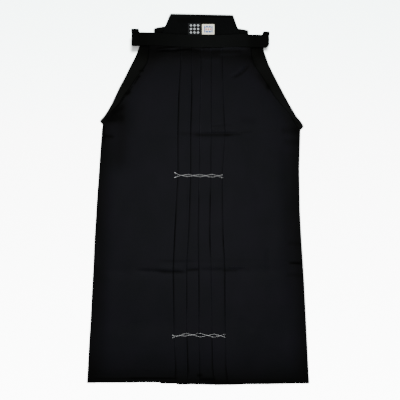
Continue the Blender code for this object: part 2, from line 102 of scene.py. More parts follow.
def lamp(row):
    """Square area lamp at its place, turned so that its -Z axis points to its aim."""
    data = bpy.data.lights.new(row.name, "AREA")
    data.size = row.size
    data.energy = row.watts
    light = linked(row.name, data)
    light.location = row.place
    light.rotation_mode = "QUATERNION"
    light.rotation_quaternion = (Vector(row.aim) - light.location).to_track_quat("-Z", "Y")


for each in LAMPS:
    lamp(each)
print("lamps:", len(LAMPS))

# %% Sky
SKY_COLOUR = (0.97, 0.99, 1.0, 1)
SKY_STRENGTH = 0.46
SKY_SEEN = 8.0


def sky():
    """Plain pale world that lights evenly from all sides, and looks white where it is seen past the floor."""
    world = bpy.data.worlds.new("pale_sky")
    world.use_nodes = True
    tree = world.node_tree
    background = tree.nodes["Background"]
    background.inputs["Color"].default_value = SKY_COLOUR
    seen = tree.nodes.new("ShaderNodeLightPath")
    strength = tree.nodes.new("ShaderNodeMapRange")
    strength.inputs["To Min"].default_value = SKY_STRENGTH
    strength.inputs["To Max"].default_value = SKY_SEEN
    tree.links.new(seen.outputs["Is Camera Ray"], strength.inputs["Value"])
    tree.links.new(strength.outputs["Result"], background.inputs["Strength"])
    bpy.context.scene.world = world


sky()
print("sky strength:", SKY_STRENGTH)

# %% [markdown]
# ## Nodes in a few words
# Every finish below is made of shader nodes: each works out a number or a colour for a place and hands it
# on. They could be joined by hand in the node editor. Written as code they can be read, repeated and
# changed in one place, so this helper adds a node, sets its inputs and links others into it, like a recipe.


# %% A helper for shader nodes
class Recipe:
    """One material's node tree. A link is a pair: the node it comes from, and the name of that output."""

    def __init__(self, name):
        self.material = bpy.data.materials.new(name)
        self.material.use_nodes = True
        self.tree = self.material.node_tree
        self.shader = self.tree.nodes["Principled BSDF"]

    def add(self, kind, settings=None, **inputs):
        """New node with its settings and inputs."""
        node = self.tree.nodes.new(kind)
        for key, value in (settings or {}).items():
            setattr(node, key, value)
        self.feed(node, **inputs)
        return node

    def feed(self, node, **inputs):
        """Values or links for a node's inputs: i2 is the third input, and To_Min the one named To Min."""
        for key, value in inputs.items():
            socket = node.inputs[int(key[1:])] if key[1:].isdigit() else node.inputs[key.replace("_", " ")]
            if isinstance(value, tuple) and hasattr(value[0], "outputs"):
                self.tree.links.new(value[0].outputs[value[1]], socket)
            else:
                socket.default_value = value

    def finish(self, **inputs):
        """The material, once its shader has these inputs."""
        self.feed(self.shader, **inputs)
        return self.material

    def number(self, operation, first, second):
        """Link to one step of arithmetic with two numbers."""
        return self.add("ShaderNodeMath", {"operation": operation}, i0=first, i1=second), "Value"

    def vector(self, operation, first, second=(0.0, 0.0, 0.0), output="Vector"):
        """Link to one step of arithmetic with two places or colours."""
        return self.add("ShaderNodeVectorMath", {"operation": operation}, i0=first, i1=second), output

    def scaled(self, vector, factor):
        """Link to a place or a colour times a number."""
        return self.add("ShaderNodeVectorMath", {"operation": "SCALE"}, i0=vector, Scale=factor), "Vector"

    def span(self, value, kind="LINEAR", **ends):
        """Link to a number carried from the range From_Min, From_Max to the range To_Min, To_Max."""
        return self.add("ShaderNodeMapRange", {"interpolation_type": kind}, Value=value, **ends), "Result"

    def noise(self, place, scale, detail, **inputs):
        """Link to a cloudy number between 0 and 1, with scale clouds to the metre."""
        return self.add("ShaderNodeTexNoise", Vector=place, Scale=scale, Detail=detail, **inputs), "Fac"

    def mark(self, name):
        """Link to a number that the mesh itself carries at each of its points."""
        return self.add("ShaderNodeAttribute", {"attribute_name": name}), "Fac"

    def place(self):
        """Link to the place on the object, in metres."""
        return self.add("ShaderNodeTexCoord"), "Object"

    def flat(self):
        """Link to the place on the piece's flat map, in metres."""
        return self.add("ShaderNodeUVMap", {"uv_map": "cloth"}), "UV"

    def ramp(self, factor, stops):
        """Link to a colour that runs through (place, colour) stops as factor goes from 0 to 1."""
        node = self.add("ShaderNodeValToRGB", i0=factor)
        points = node.color_ramp.elements
        while len(points) < len(stops):
            points.new(0.5)
        for point, (place, colour) in zip(points, stops):
            point.position = place
            point.color = (*colour, 1)
        return node, "Color"


print("steps of a recipe:", [name for name in vars(Recipe) if name[0] != "_"])

# %% [markdown]
# ## The floor
# The trousers lie on a bright white table. A white plane under these lamps comes out grey, and stronger
# lamps would bleach the cloth. So the plane is a matt screen that is also lit from below, for the eye only:
# its glow is multiplied by Is Camera Ray and lights nothing. A thin garment leaves a narrow shade round
# itself, which the glow would drown. Ambient occlusion within a few millimetres brings it back, and two
# soft boxes do the same under the ends of the band, which stand high.

# %% Floor finish
FLOOR_COLOUR = ((0.0, (0.80, 0.815, 0.81)), (1.0, (0.84, 0.85, 0.845)))
SCREEN_COLOUR = ((0.65, (0.82, 0.83, 0.825)), (1.0, (0.69, 0.83, 0.80)))
FLOOR_CLOUDS = 2.2
GLOW_TOP = 7.4
GLOW_LOW = 13.0
GLOW_REACH = 0.6
CONTACT_REACH = 0.004
CONTACT_POWER = 6.0
ShadowRow = namedtuple("ShadowRow", "x y half_x half_y soft")
SHADOWS = (
    ShadowRow(-0.1778, 0.4543, 0.0148, 0.0138, 0.017),
    ShadowRow(0.188, 0.456, 0.010, 0.012, 0.018),
)
SHADOW_LEAVES = 0.6


def soft_box(recipe, place, row):
    """Smooth step of the distance to a box on the floor: 0 inside it, 1 from soft on outwards."""
    moved = recipe.vector("SUBTRACT", place, (row.x, row.y, 0))
    past = recipe.vector("SUBTRACT", recipe.vector("ABSOLUTE", moved), (row.half_x, row.half_y, 1))
    far = recipe.vector("LENGTH", recipe.vector("MAXIMUM", past), output="Value")
    return recipe.span(far, "SMOOTHERSTEP", From_Min=0.0, From_Max=row.soft)


def floor_finish():
    """White screen: glow along Y, times seen by the camera, times openness to a power, times the boxes."""
    recipe = Recipe("pale_floor")
    place = recipe.place()
    colour = recipe.ramp(recipe.noise(place, FLOOR_CLOUDS, 2.0), FLOOR_COLOUR)
    along = (recipe.add("ShaderNodeSeparateXYZ", Vector=place), "Y")
    glow = recipe.span(along, From_Min=GLOW_REACH, From_Max=-GLOW_REACH, To_Min=GLOW_TOP, To_Max=GLOW_LOW)
    screen = recipe.ramp(recipe.span(along, From_Min=-GLOW_REACH, From_Max=GLOW_REACH), SCREEN_COLOUR)
    light = recipe.number("MULTIPLY", glow, (recipe.add("ShaderNodeLightPath"), "Is Camera Ray"))
    open_share = (recipe.add("ShaderNodeAmbientOcclusion", {"samples": 8}, Distance=CONTACT_REACH), "AO")
    light = recipe.number("MULTIPLY", light, recipe.number("POWER", open_share, CONTACT_POWER))
    for row in SHADOWS:
        shade = soft_box(recipe, place, row)
        light = recipe.number("MULTIPLY", light, shade)
        colour = recipe.scaled(colour, recipe.span(shade, To_Min=SHADOW_LEAVES))
    return recipe.finish(
        Base_Color=colour, Roughness=0.9, Specular_IOR_Level=0.1,
        Emission_Color=screen, Emission_Strength=light,
    )


print("floor glows", GLOW_TOP, "at the waist and", GLOW_LOW, "at the hem")

# %% Floor
FLOOR_HALF = 6.0
FLOOR_DROP = -0.0001


def floor():
    """One large square just under the garment."""
    h = FLOOR_HALF
    mesh = bpy.data.meshes.new("floor")
    corners = [(x, y, FLOOR_DROP) for x, y in ((-h, -h), (h, -h), (h, h), (-h, h))]
    mesh.from_pydata(corners, [], [(0, 1, 2, 3)])
    mesh.materials.append(floor_finish())
    linked("floor", mesh)


floor()
print("floor:", 2 * FLOOR_HALF, "m wide")

# %% [markdown]
# ## The sizes of the trousers
# The measures are a maker's: where the sides and their folds run, where each pleat's crest lies, and how
# the waist is stacked. They are in millimetres, with +X to the right and +Y to the waist. A table has a row
# for one line across the garment, and between its rows the cloth runs straight. Typing every point would
# also work, but a few rows can be read, compared and corrected.

# %% Measures of the cloth
CLOTH = 1.1
AIR = 0.4
LAYER = CLOTH + AIR
WAIST_Y = 447
HEM_Y = -540
OPENING_END = 217


def rows_of(kind, *rows):
    """Table of named rows, so that a formula can say row.edge and not row[1]."""
    return tuple(kind(*row) for row in rows)


print("from waist to hem:", WAIST_Y - HEM_Y, "mm")

# %% Measures of the sides
SideRow = namedtuple("SideRow", "y edge fold")
RIGHT_SIDE = rows_of(
    SideRow,
    (447, -172, -142), (419, -185.7, -145), (398, -197, -151), (375, -208.6, -166), (351, -220.7, -184),
    (328, -233.2, -199), (304, -244.4, -218), (280, -255.6, -231), (257, -268.8, -255), (243, -278.6, -268),
    (230, -290.5, -277.5), (218, -281, -281), (208, -269, -282.2), (115, -275, -289.2), (0, -282, -297),
    (-121, -290, -304.5), (-239, -295, -310), (-390, -303, -318.4), (-540, -311, -327),
)
LEFT_SIDE = rows_of(
    SideRow,
    (447, 190.7, 153), (419, 199.5, 156), (398, 206.7, 162), (375, 217.7, 177), (351, 230, 193),
    (328, 242, 208), (304, 254.8, 223), (280, 267.8, 243), (257, 281.3, 265), (243, 289.4, 274),
    (233, 298.5, 279), (220, 307.8, 286.5), (213, 310.2, 291), (202, 300, 300.8), (192, 287, 299.6),
    (90, 281.5, 296.8), (-33, 283, 298.7), (-121, 289, 303.4), (-239, 296, 311), (-390, 304, 318.5),
    (-540, 311, 326),
)
print("hem from fold to fold:", LEFT_SIDE[-1].fold - RIGHT_SIDE[-1].fold, "mm")

# %% Measures of the pleats
PleatRow = namedtuple("PleatRow", "y line_1 line_2 line_3 line_4 line_5")
PLEATS = rows_of(
    PleatRow,
    (447, -52, -20, 8, 39, 71),
    (398, -52.5, -20.5, 8, 39, 71.5),
    (304, -58.5, -20.5, 6, 38.5, 73),
    (200, -61, -23.5, 4, 38, 79),
    (70, -60.5, -23.5, 2.5, 37.5, 70.5),
    (-92, -70, -28.5, -1, 34.5, 73),
    (-209, -75, -35, 0.5, 37.5, 79),
    (-390, -72, -35, 2, 40.5, 79.5),
    (-490, -68, -32, 3, 43, 82),
    (-540, -69, -32, 3.5, 49, 89),
)
print("crests at the hem:", PLEATS[-1][1:])

# %% Measures of the loft and the hem
LoftRow = namedtuple("LoftRow", "x z")
LOFT = rows_of(
    LoftRow,
    (-330, 1.5), (-290, 2.8), (-250, 4.2), (-190, 4.9), (0, 4.6), (190, 4.9), (245, 4.2), (285, 2.8),
    (330, 1.5),
)
HemRow = namedtuple("HemRow", "x y")
HEM = rows_of(
    HemRow,
    (-326, -542.2), (-190, -541.4), (-178, -540.3), (-116, -540.3), (-108, -543.8), (-68, -543.9),
    (-58, -547), (-15, -546.3), (40, -548.6), (102, -547.9), (140, -546), (205, -546), (326, -543.6),
)
print("legs are", max(row.z for row in LOFT), "mm high at most")

# %% Measures of the waist
BOARD_TOP_Y = 546.2
BOARD_LOW_Y = 457.2
BOARD_TILT = 0.096
BOARD_THICK = 4.4
BAND_WIDE = 36.6
BAND_THICK = 2.4
BAND_LEFT = -196.6
BAND_RIGHT = 208.4
BAND_Y_LEFT = 471.7
BAND_Y_RIGHT = 465.2
BAND_DIP = 3.6
BAND_DIP_FROM = 50
BAND_DIP_TO = 135
BAND_RISE = 1.6
BAND_RISE_FROM = -112
BAND_RISE_TO = -140
WAIST_FULL = 137.0
WAIST_FADE = 186.0
print("band:", BAND_RIGHT - BAND_LEFT, "mm, board:", BOARD_TOP_Y - BOARD_LOW_Y, "mm deep")


# %% Reading the tables
def read(table, name, at):
    """One column of a table at some places along its first column, straight between its rows."""
    rows = sorted(table, key=lambda row: row[0])
    return np.interp(at, [row[0] for row in rows], [getattr(row, name) for row in rows])


def column(table, name, at, soft=5.0, steps=3):
    """The same with its corners softened: the mean of steps readings from -soft to soft."""
    return np.mean([read(table, name, at + step) for step in np.linspace(-soft, soft, steps)], axis=0)


def ease(start, end, value):
    """0 before start, 1 after end, and 3s^2 - 2s^3 of the share s between."""
    share = np.clip((np.asarray(value, float) - start) / (end - start), 0, 1)
    return share * share * (3 - 2 * share)


print("right fold at the opening's end:", round(float(column(RIGHT_SIDE, "fold", OPENING_END)), 1), "mm")


# %% Curves of the waist
def board_top(y):
    """Height of the board's face: its thickness plus tilt times the distance from its top edge."""
    return BOARD_THICK + BOARD_TILT * (BOARD_TOP_Y - y)


def waist_fade(x):
    """1 over the board and 0 at the ends of the band."""
    return 1 - ease(WAIST_FULL, WAIST_FADE, np.abs(x))


def waist_bed(x, y):
    """Height of what the front straps lie on: the band's under run outside, the board in the middle."""
    return AIR + BAND_THICK + AIR + (board_top(y) - BAND_THICK - AIR) * waist_fade(x)


def band_middle(x):
    """Y of the band's middle line: straight from end to end, less a soft dip in the middle."""
    share = (x - BAND_LEFT) / (BAND_RIGHT - BAND_LEFT)
    dip = BAND_DIP * (1 - ease(BAND_DIP_FROM, BAND_DIP_TO, np.abs(x)))
    return BAND_Y_LEFT + (BAND_Y_RIGHT - BAND_Y_LEFT) * share - dip


def band_rise(x):
    """How much higher the band's upper edge stands towards its -X end, where the straps lift it."""
    return BAND_RISE * ease(BAND_RISE_FROM, BAND_RISE_TO, x)


print("band's middle stands", round(float(waist_bed(0, band_middle(0))), 1), "mm high")

# %% [markdown]
# ## Folds and ripples
# Pressed cloth that has been stored folded keeps straight creases where it was doubled, and soft hollows
# beside them. They could be sculpted by hand, but then they couldn't be moved or compared. Each one here is
# a trough (or, with a minus, a ridge) along a line from one point to another, bowed a little and fading out
# at its ends. Their depths and lengths are all different, because a row of equal folds looks made by a
# machine. Under them lies a slow ripple, a sum of a few long waves.

# %% Folds of the front
Fold = namedtuple("Fold", "x0 y0 x1 y1 bow wide depth")
FOLDS = rows_of(
    Fold,
    # storage crease above the first thread, and the ridge over it
    (-20, 191, 152, 191, 2, 5.5, 1.5), (0, 192, 114, 192, 1, 3.0, 0.9), (36, 214, 66, 214, 1, 6, -0.9),
    (-150, 190, -30, 191, -2, 8, 0.5), (-278, 189, -255, 188, 0, 5, 1.2), (150, 190, 260, 192, 2, 9, 0.4),
    # storage crease under the middle
    (-190, -213, -30, -215, -1, 6, 1.5), (-140, -215, -34, -216, 0, 3.2, 1.0),
    (-36, -210, 2, -209, 0, 4, 1.2), (-2, -210, 82, -209, 0, 5, 0.7), (78, -209, 144, -210, 1, 5, 1.2),
    (-170, -186, 120, -187, 1, 7, 0.4), (-290, -212, -200, -214, 0, 10, 0.4),
    (150, -208, 250, -212, 0, 10, 0.4),
    # right side
    (268, -189, 304, -189, 0, 4, 1.1), (262, -130, 304, -132, 0, 7, 0.5), (258, -224, 306, -226, 0, 7, 0.5),
    (202, -140, 203, -230, 0, 6, 0.8),
    # gathers just under the band: an open one, its tail, one over it, a knot and a broad hollow
    (-116, 435.5, -76, 435.9, 0, 2.4, 3.2), (-84, 435.6, -22, 440.6, -1, 1.7, 2.2),
    (-124, 443.2, -64, 447.6, 1, 1.8, 1.6), (-108, 439.6, -80, 440.8, 1, 2.2, -0.9),
    (-22, 447, -8, 433, 0, 3.2, 1.8), (-8, 431, 84, 431, 2, 6.5, 1.8), (82, 436, 140, 442, 2, 4.0, 1.0),
    (-170, 436, -120, 428, 1, 6.0, 1.2),
    # pull from the band's right end down to the pleats
    (92, 352, 148, 402, -9, 4, 1.6), (84, 360, 136, 402, -9, 6, -1.0),
    # soft diagonals low on the right, and their like on the left
    (118, -350, 164, -392, 3, 9, 0.7), (205, -440, 246, -480, 3, 9, 0.6),
    (-232, -402, -176, -360, 3, 10, 0.5), (-150, 60, -110, -40, 6, 12, 0.4),
    (150, 90, 190, -20, -5, 12, 0.5), (-240, -60, -190, 40, 5, 13, 0.4),
)
print("folds on the front:", len(FOLDS))

# %% Waves of the front
Wave = namedtuple("Wave", "per_x per_y phase height")
WAVES = rows_of(
    Wave,
    (310, 460, 0.6, 0.32), (170, -380, 2.1, 0.22), (92, 640, 4.4, 0.16), (-130, 150, 1.2, 0.12),
    (58, -210, 3.3, 0.08),
)
print("waves reach", round(sum(wave.height for wave in WAVES), 2), "mm")

# %% [markdown]
# A crease also looks darker than its depth alone explains, because its two walls shade each other. The next
# table paints that soft shadow into the colour, along with shade at the sides, the tips and under the band,
# and with a minus a few paler painted highlights. Its rows are like those of the folds, with how dark they
# are as their depth, and the finish of the cloth reads them later as a mark on the mesh.

# %% Painted shade and highlights of the front
FRONT_SHADE_AND_HIGHLIGHTS = rows_of(
    Fold,
    # upper storage crease: painted shadow in its long dark part and what leads to it, and painted highlights
    # on the rims beside it
    (-23.2, 188.7, 112.5, 188.7, 0, 5.5, 0.42), (-64.5, 193.8, 12.2, 190.2, 0, 6, 0.16),
    (71.2, 188.2, 133.2, 191.4, 0, 3.6, 0.26), (121.4, 194.3, 165.6, 199.7, 0, 4, 0.14),
    (-285.7, 185.8, -244.4, 182.8, 0, 5, 0.32), (29.9, 217.9, 74.2, 222.7, 0, 3, -0.12),
    (32.9, 213.2, 74.2, 217.9, 0, 2.5, 0.13), (62.4, 217.4, 106.6, 216.2, 0, 4, 0.1),
    (118.4, 231.5, 177.4, 228.6, 0, 9, 0.12), (-5.5, 166.6, 100.7, 169.6, 0, 5, -0.07),
    # lower storage crease: painted shadow on each strip, a painted highlight on the rim over it, and the
    # painted shadow of the thin one above
    (-191.3, -206.3, -82.2, -209.5, 0, 5, 0.2), (-123.5, -214.5, -29.1, -215.7, 0, 4.2, 0.42),
    (-40.9, -211, 6.3, -208, 0, 4, 0.42), (3.4, -206.9, 88.9, -208.6, 0, 6, 0.18),
    (68.3, -211, 121.4, -210.4, 0, 4, 0.34), (109.6, -209.5, 159.7, -209.5, 0, 6, 0.12),
    (-123.5, -198, -35, -199.2, 0, 4.5, -0.14), (-117.6, -182.7, 0.4, -183.3, 0, 3, 0.16),
    # left in the view: painted shade at the side, and a paler painted patch low down
    (-285.7, 237, -209, 240, 0, 15, 0.36), (-271, 230.3, -235.6, 230.6, 0, 3, 0.16),
    (-278.6, 228.6, -276.9, 157.8, 0, 3, 0.3), (-265.1, 249.2, -212, 275.8, 0, 9, 0.28),
    (-216.7, 302.3, -199, 324.1, 0, 5, 0.3), (-300.5, -104.8, -297.5, -216.9, 0, 8, -0.2),
    (-220.8, 314.1, -238.5, 60.4, 0, 30, 0.34), (248.2, 266.9, 260, -393.9, 0, 20, 0.15),
    (-276.9, -116.6, -279.8, -559.1, 0, 20, 0.08),
    # the side fold's broken line: painted shadow in short dark runs and knots
    (-158.9, 392.3, -169.2, 374.3, 0, 2.4, 0.5), (-174.2, 378.4, -158.3, 376.7, 0, 3, 0.5),
    (-182.5, 355.4, -168.3, 364.3, 0, 3, 0.5), (-176, 358.4, -191.3, 334.2, 0, 2.2, 0.5),
    (-191.3, 335.9, -208.4, 311.2, 0, 2.2, 0.42), (-218.4, 307, -196.6, 315.3, 0, 4, 0.5),
    (-214.3, 308.2, -229.7, 282.3, 0, 2.8, 0.5), (-226.7, 286.1, -252.1, 260.4, 0, 2.6, 0.38),
    # right in the view: shade along the fold, at the tip and in the short creases
    (150.9, 426.2, 174.5, 384.9, 0, 7, 0.18), (171.5, 376.1, 215.8, 311.2, 0, 7, 0.2),
    (201.6, 342.1, 209.3, 320, 0, 5, 0.3), (273.3, 241.8, 298.4, 216.8, 0, 2.6, 0.4),
    (236.4, 202, 310.2, 199.1, 0, 12, 0.28), (242.3, 169.6, 310.2, 166.6, 0, 10, 0.16),
    (263, -188.6, 316.1, -190.9, 0, 3.5, 0.5), (254.1, -131.3, 313.1, -133.1, 0, 6, 0.13),
    (254.1, -224.6, 313.1, -226.3, 0, 6, 0.13), (204, -137.2, 206.9, -237.5, 0, 6, 0.1),
    # gathers under the band: painted shadow in two dark lips round a painted highlight and in a knot, and
    # painted highlights on the cloth right of them
    (-129.4, 441.3, -52.7, 448.9, 0, 2.2, 0.34), (-120.5, 438.9, -52.7, 441.9, 0, 1.9, -0.34),
    (-129.4, 434.2, -55.6, 434.2, 0, 2.6, 0.4), (-88.1, 434.5, -11.4, 441, 0, 2.4, 0.4),
    (-35, 438.3, 9.3, 436.2, 0, 4.5, 0.2), (-40.9, 442.1, 171.5, 443.9, 0, 6, -0.28),
    (53.5, 424.4, 133.2, 427.4, 0, 5, -0.25), (0.4, 442.7, 165.6, 445.1, 0, 7, -0.22),
    (-5.5, 407, 77.1, 407, 0, 9, -0.14), (118.4, 432.1, 177.4, 432.1, 0, 10, -0.2),
    # pull from the band's end, as painted shadow and highlight, and painted shade at the hem's turned edge
    (94.8, 355.4, 152.4, 399.7, -9, 3.2, 0.34), (87.5, 364.3, 143.5, 405.6, -9, 4, -0.13),
    (-217.9, -527.8, -46.8, -527.8, 0, 2.2, 0.55), (-324.1, -529.6, -141.2, -529.6, 0, 2.5, 0.14),
    (-6.9, -519.6, 16.7, -519.6, 0, 4.5, 0.4), (0.4, -531.4, 56.5, -531.4, 0, 4, 0.3),
)
print("hollows on the front:", len(FRONT_SHADE_AND_HIGHLIGHTS))

# %% Relief
FADE = 0.25


def fold_relief(x, y, folds):
    """Sum of -depth * exp(-(distance / wide)^2) * fade over the folds.

    distance is measured square to the line, whose middle is pushed aside by bow, and fade runs softly from
    0 to 1 to 0 along it.
    """
    total = np.zeros(np.broadcast(x, y).shape)
    for fold in folds:
        run = np.array([fold.x1 - fold.x0, fold.y1 - fold.y0], float)
        length = np.hypot(*run)
        run /= length
        along = ((x - fold.x0) * run[0] + (y - fold.y0) * run[1]) / length
        aside = (y - fold.y0) * run[0] - (x - fold.x0) * run[1]
        aside = aside - fold.bow * 4 * along * (1 - along)
        fade = ease(0, FADE, along) * ease(1, 1 - FADE, along)
        total -= fold.depth * np.exp(-((aside / fold.wide) ** 2)) * fade
    return total


def ripple(x, y):
    """Sum of height * sin(2 pi (x / per_x + y / per_y) + phase) over the waves."""
    return sum(
        wave.height * np.sin(2 * math.pi * (x / wave.per_x + y / wave.per_y) + wave.phase) for wave in WAVES
    )


def front_relief(x, y):
    """Folds and ripple of the front."""
    return fold_relief(x, y, FOLDS) + ripple(x, y)


print("relief in the upper crease:", round(float(front_relief(60, 191)), 2), "mm")

# %% [markdown]
# ## Laying cloth on cloth
# A pleat is a pile of layers, and each layer rests on whatever is under it. A cloth simulation could let
# them fall, but it would blur the pressed edges and cross thin layers. The stack below keeps the height of
# the pile on a grid instead: one row for each line across the garment, one place every 1.5 mm. A new layer
# takes the height of the highest thing near it, falling away no more steeply than cloth drapes. That is a
# running maximum from the left and one from the right, which numpy does for all rows at once.

# %% The stack
PILE_REACH = 345
PILE_STEP = 1.5
SOFT_UNDER = 0.1
SOFT_PLACES = 8
SOFT_SINKS = 0.1
ANY_LEVEL = 99.0


class Stack:
    """Height of all that is laid so far, rows by places across."""

    def __init__(self, rows):
        self.x = np.arange(-PILE_REACH, PILE_REACH, PILE_STEP)
        self.top = np.full((rows, len(self.x)), CLOTH)

    def sample(self, grid, xs):
        """A grid's values at xs, straight between its places."""
        # the last place has none to its right, so xs stop just short of it
        place = np.clip((xs - self.x[0]) / PILE_STEP, 0, len(self.x) - 1.001)
        left = place.astype(int)
        low = np.take_along_axis(grid, left, axis=1)
        high = np.take_along_axis(grid, left + 1, axis=1)
        return low + (high - low) * (place - left)

    def support(self, steepest):
        """Least height of a cloth that clears the pile and nowhere falls more steeply than steepest.

        A cloth that falls gently also spans what is under it: its height is a bell-shaped mean.
        """
        wide = np.maximum(self.top, np.maximum(np.roll(self.top, 1, axis=1), np.roll(self.top, -1, axis=1)))
        slope = steepest * self.x
        from_left = np.maximum.accumulate(wide + slope, axis=1) - slope
        from_right = np.maximum.accumulate((wide - slope)[:, ::-1], axis=1)[:, ::-1] + slope
        draped = np.maximum(from_left, from_right)
        if steepest > SOFT_UNDER:
            return draped
        bell = np.exp(-np.linspace(-2, 2, 2 * SOFT_PLACES + 1) ** 2)
        padded = np.pad(draped, ((0, 0), (SOFT_PLACES, SOFT_PLACES)), mode="edge")
        soft = sum(share * padded[:, k : k + len(self.x)] for k, share in enumerate(bell / bell.sum()))
        return np.maximum(soft, draped - SOFT_SINKS)

    def lay(self, xs, spread, least, steepest, lift, level=ANY_LEVEL):
        """Heights of the middle of a layer, which then belongs to the pile.

        The layer takes the larger of its support and least, falls no lower than level under its own
        highest place, is smoothed along the garment and lifted.
        """
        resting = self.sample(self.support(steepest), xs) + AIR + CLOTH / 2
        resting = np.maximum(resting, resting.max(axis=1, keepdims=True) - level)
        z = smooth_rows(np.maximum(resting, least)) + lift
        self.cover(xs, z, spread)
        return z

    def cover(self, xs, z, spread):
        """Adds a layer's upper face to the pile. spread says what share of its width each column has."""
        first, last = xs[:, :1], xs[:, -1:]
        share = np.clip((self.x - first) / (last - first), 0, 1)
        place = np.interp(share, spread, np.arange(len(spread)))
        left = np.minimum(place.astype(int), len(spread) - 2)
        low = np.take_along_axis(z, left, axis=1)
        high = np.take_along_axis(z, left + 1, axis=1)
        surface = low + (high - low) * (place - left) + CLOTH / 2
        beyond = np.abs(self.x - np.clip(self.x, np.minimum(first, last), np.maximum(first, last)))
        self.top = np.where(beyond < LAYER, np.maximum(self.top, surface), self.top)


print("places across the pile:", round(2 * PILE_REACH / PILE_STEP))


# %% Along the garment
def smooth_rows(grid):
    """Largest of each row and its neighbours, then their mean: soft along the garment, and never lower."""
    padded = np.pad(grid, ((1, 1), (0, 0)), mode="edge")
    most = np.maximum(np.maximum(padded[:-2], padded[2:]), padded[1:-1])
    padded = np.pad(most, ((1, 1), (0, 0)), mode="edge")
    return np.maximum(grid, (padded[:-2] + padded[2:] + padded[1:-1]) / 3)


print("a layer with its air:", LAYER, "mm")

# %% Lines across the garment
ROW_STEP = 5.0
FineZone = namedtuple("FineZone", "low high step")
FINE_ZONES = rows_of(
    FineZone,
    (-540, -500, 2.0), (-236, -178, 2.5), (176, 240, 2.0), (360, 424, 3.0), (424, 447, 1.25),
)


def section_lines():
    """Every y that gets a section: a regular row of lines, closer in the zones with small forms."""
    lines = [np.arange(HEM_Y, WAIST_Y, ROW_STEP), [WAIST_Y]]
    lines += [np.arange(zone.low, zone.high, zone.step) for zone in FINE_ZONES]
    return np.unique(np.round(np.concatenate(lines), 3))


ROWS = section_lines()
stack = Stack(len(ROWS))
print("section lines:", len(ROWS), "with", len(stack.x), "places each")

# %% [markdown]
# ## One leg's front panel
# Seen in section, the front starts as the lower layer of the side fold, turns at the side, runs over the
# leg to the first pleat crest, turns back under it, climbs out again as a strip to the next crest, and so
# on, until the last layer runs back outward to the inseam. Every turn is a half circle. Separate strips
# would be quicker to make, but then the pleats would be ribbons, and not one cloth that could be unfolded.

# %% The layers of a front
COLUMNS = {
    "lower": 14, "middle": 5, "strip_0": 70, "back_1": 4,
    "strip_1": 20, "back_2": 4, "strip_2": 22, "inner": 4,
}
LAID_ORDER = ("inner", "strip_2", "back_2", "strip_1", "back_1", "lower", "middle", "strip_0")
JOINED_ORDER = ("lower", "middle", "strip_0", "back_1", "strip_1", "back_2", "strip_2", "inner")
TURN_STEPS = 4
ENDS_CLOSER = 0.7
# how far the first pleat turns under, what the second stops short of it, and the inseam beyond it
FIRST_TURN = 27
STOPS_SHORT = 10
INNER_BEYOND = 14
SIDE_TURN = 20


def spacing(name):
    """Share of a layer's width at each of its columns: t - k sin(2 pi t) / (2 pi), closer at both ends."""
    t = np.linspace(0, 1, COLUMNS[name])
    return t - ENDS_CLOSER * np.sin(2 * math.pi * t) / (2 * math.pi)


def inside(line, out):
    """X of a fold's straight ends, so that the outside of its half circle is on the line."""
    return line - out * (LAYER / 2 + CLOTH / 2)


def layer_ends(out, side, crests, step):
    """Where each layer starts and ends across the garment, as a name to (start, end) of arrays of rows."""
    crest = [inside(line, out) for line in crests]
    deep = [crest[0] - out * FIRST_TURN, crest[0] + out * STOPS_SHORT, step]
    fold = inside(side["fold"], -out)
    side_deep = fold + out * SIDE_TURN
    ends = {"lower": (side["edge"], side_deep), "middle": (side_deep, fold), "strip_0": (fold, crest[0])}
    for k in (1, 2):
        ends[f"back_{k}"] = (crest[k - 1], deep[k - 1])
        ends[f"strip_{k}"] = (deep[k - 1], crest[k])
    ends["inner"] = (crest[2], inseam_of(crests[0], out))
    return ends, crest, fold


def inseam_of(line, out):
    """X of the inseam, behind the first pleat."""
    return inside(line, out) - out * (FIRST_TURN + INNER_BEYOND)


def half_circles(x, z_from, z_to, out):
    """Half circle between two layers at x, bulging to out: x + r sin a and middle - (h / 2) cos a.

    h is the rise from one layer to the other, and r = |h| / 2.
    """
    a = np.linspace(0, math.pi, TURN_STEPS + 1)[1:-1][None, :]
    middle = ((z_from + z_to) / 2)[:, None]
    half = ((z_from - z_to) / 2)[:, None]
    return x[:, None] + out * np.abs(half) * np.sin(a), middle + half * np.cos(a)


print("columns across a front:", sum(COLUMNS.values()) + (len(COLUMNS) - 1) * (TURN_STEPS - 1))

# %% [markdown]
# Real pressed crests spring up a little, more in some places than others, and a closed fold springs less
# than one that was never pressed hard. So the layer under each crest is lifted, by a mean and two waves of
# different lengths. A random lift would do as well, but waves stay smooth from row to row.

# %% How far the crests spring up
CREST_LIFT = 1.3
CREST_LIFT_VARIES = 0.6
CREST_SOFT = 7.0
CrestWave = namedtuple("CrestWave", "length step share")
CREST_WAVES = (CrestWave(61.0, 1.9, 1.0), CrestWave(23.0, 0.7, 0.6))
CLOSED_LIFT = 0.12
HEM_LIFT = 0.35
HELD_REACH = 60
SIDE_LIFT = 1.2
SIDE_SOFT = 9.0
SIDE_WAVE = 27.0
OPENING_SOFT = 20


def springs(press_and_shadow):
    """Share of its lift that a fold keeps: CLOSED_LIFT where it lies closed, and 1 where press is 1."""
    return CLOSED_LIFT + (1 - CLOSED_LIFT) * press_and_shadow


def crest_lift(line, press_and_shadow):
    """How far a crest springs up along ROWS, less at the waist and the hem.

    It is a mean and the waves share * sin(y / length + step * line), so that no two crests are alike.
    """
    waves = sum(wave.share * np.sin(ROWS / wave.length + wave.step * line) for wave in CREST_WAVES)
    shares = sum(wave.share for wave in CREST_WAVES)
    at_hem = HEM_LIFT + (1 - HEM_LIFT) * ease(HEM_Y, HEM_Y + HELD_REACH, ROWS)
    held = ease(WAIST_Y, WAIST_Y - HELD_REACH, ROWS) * at_hem
    return (CREST_LIFT + CREST_LIFT_VARIES * waves / shares) * held * springs(np.maximum(press_and_shadow, 0))


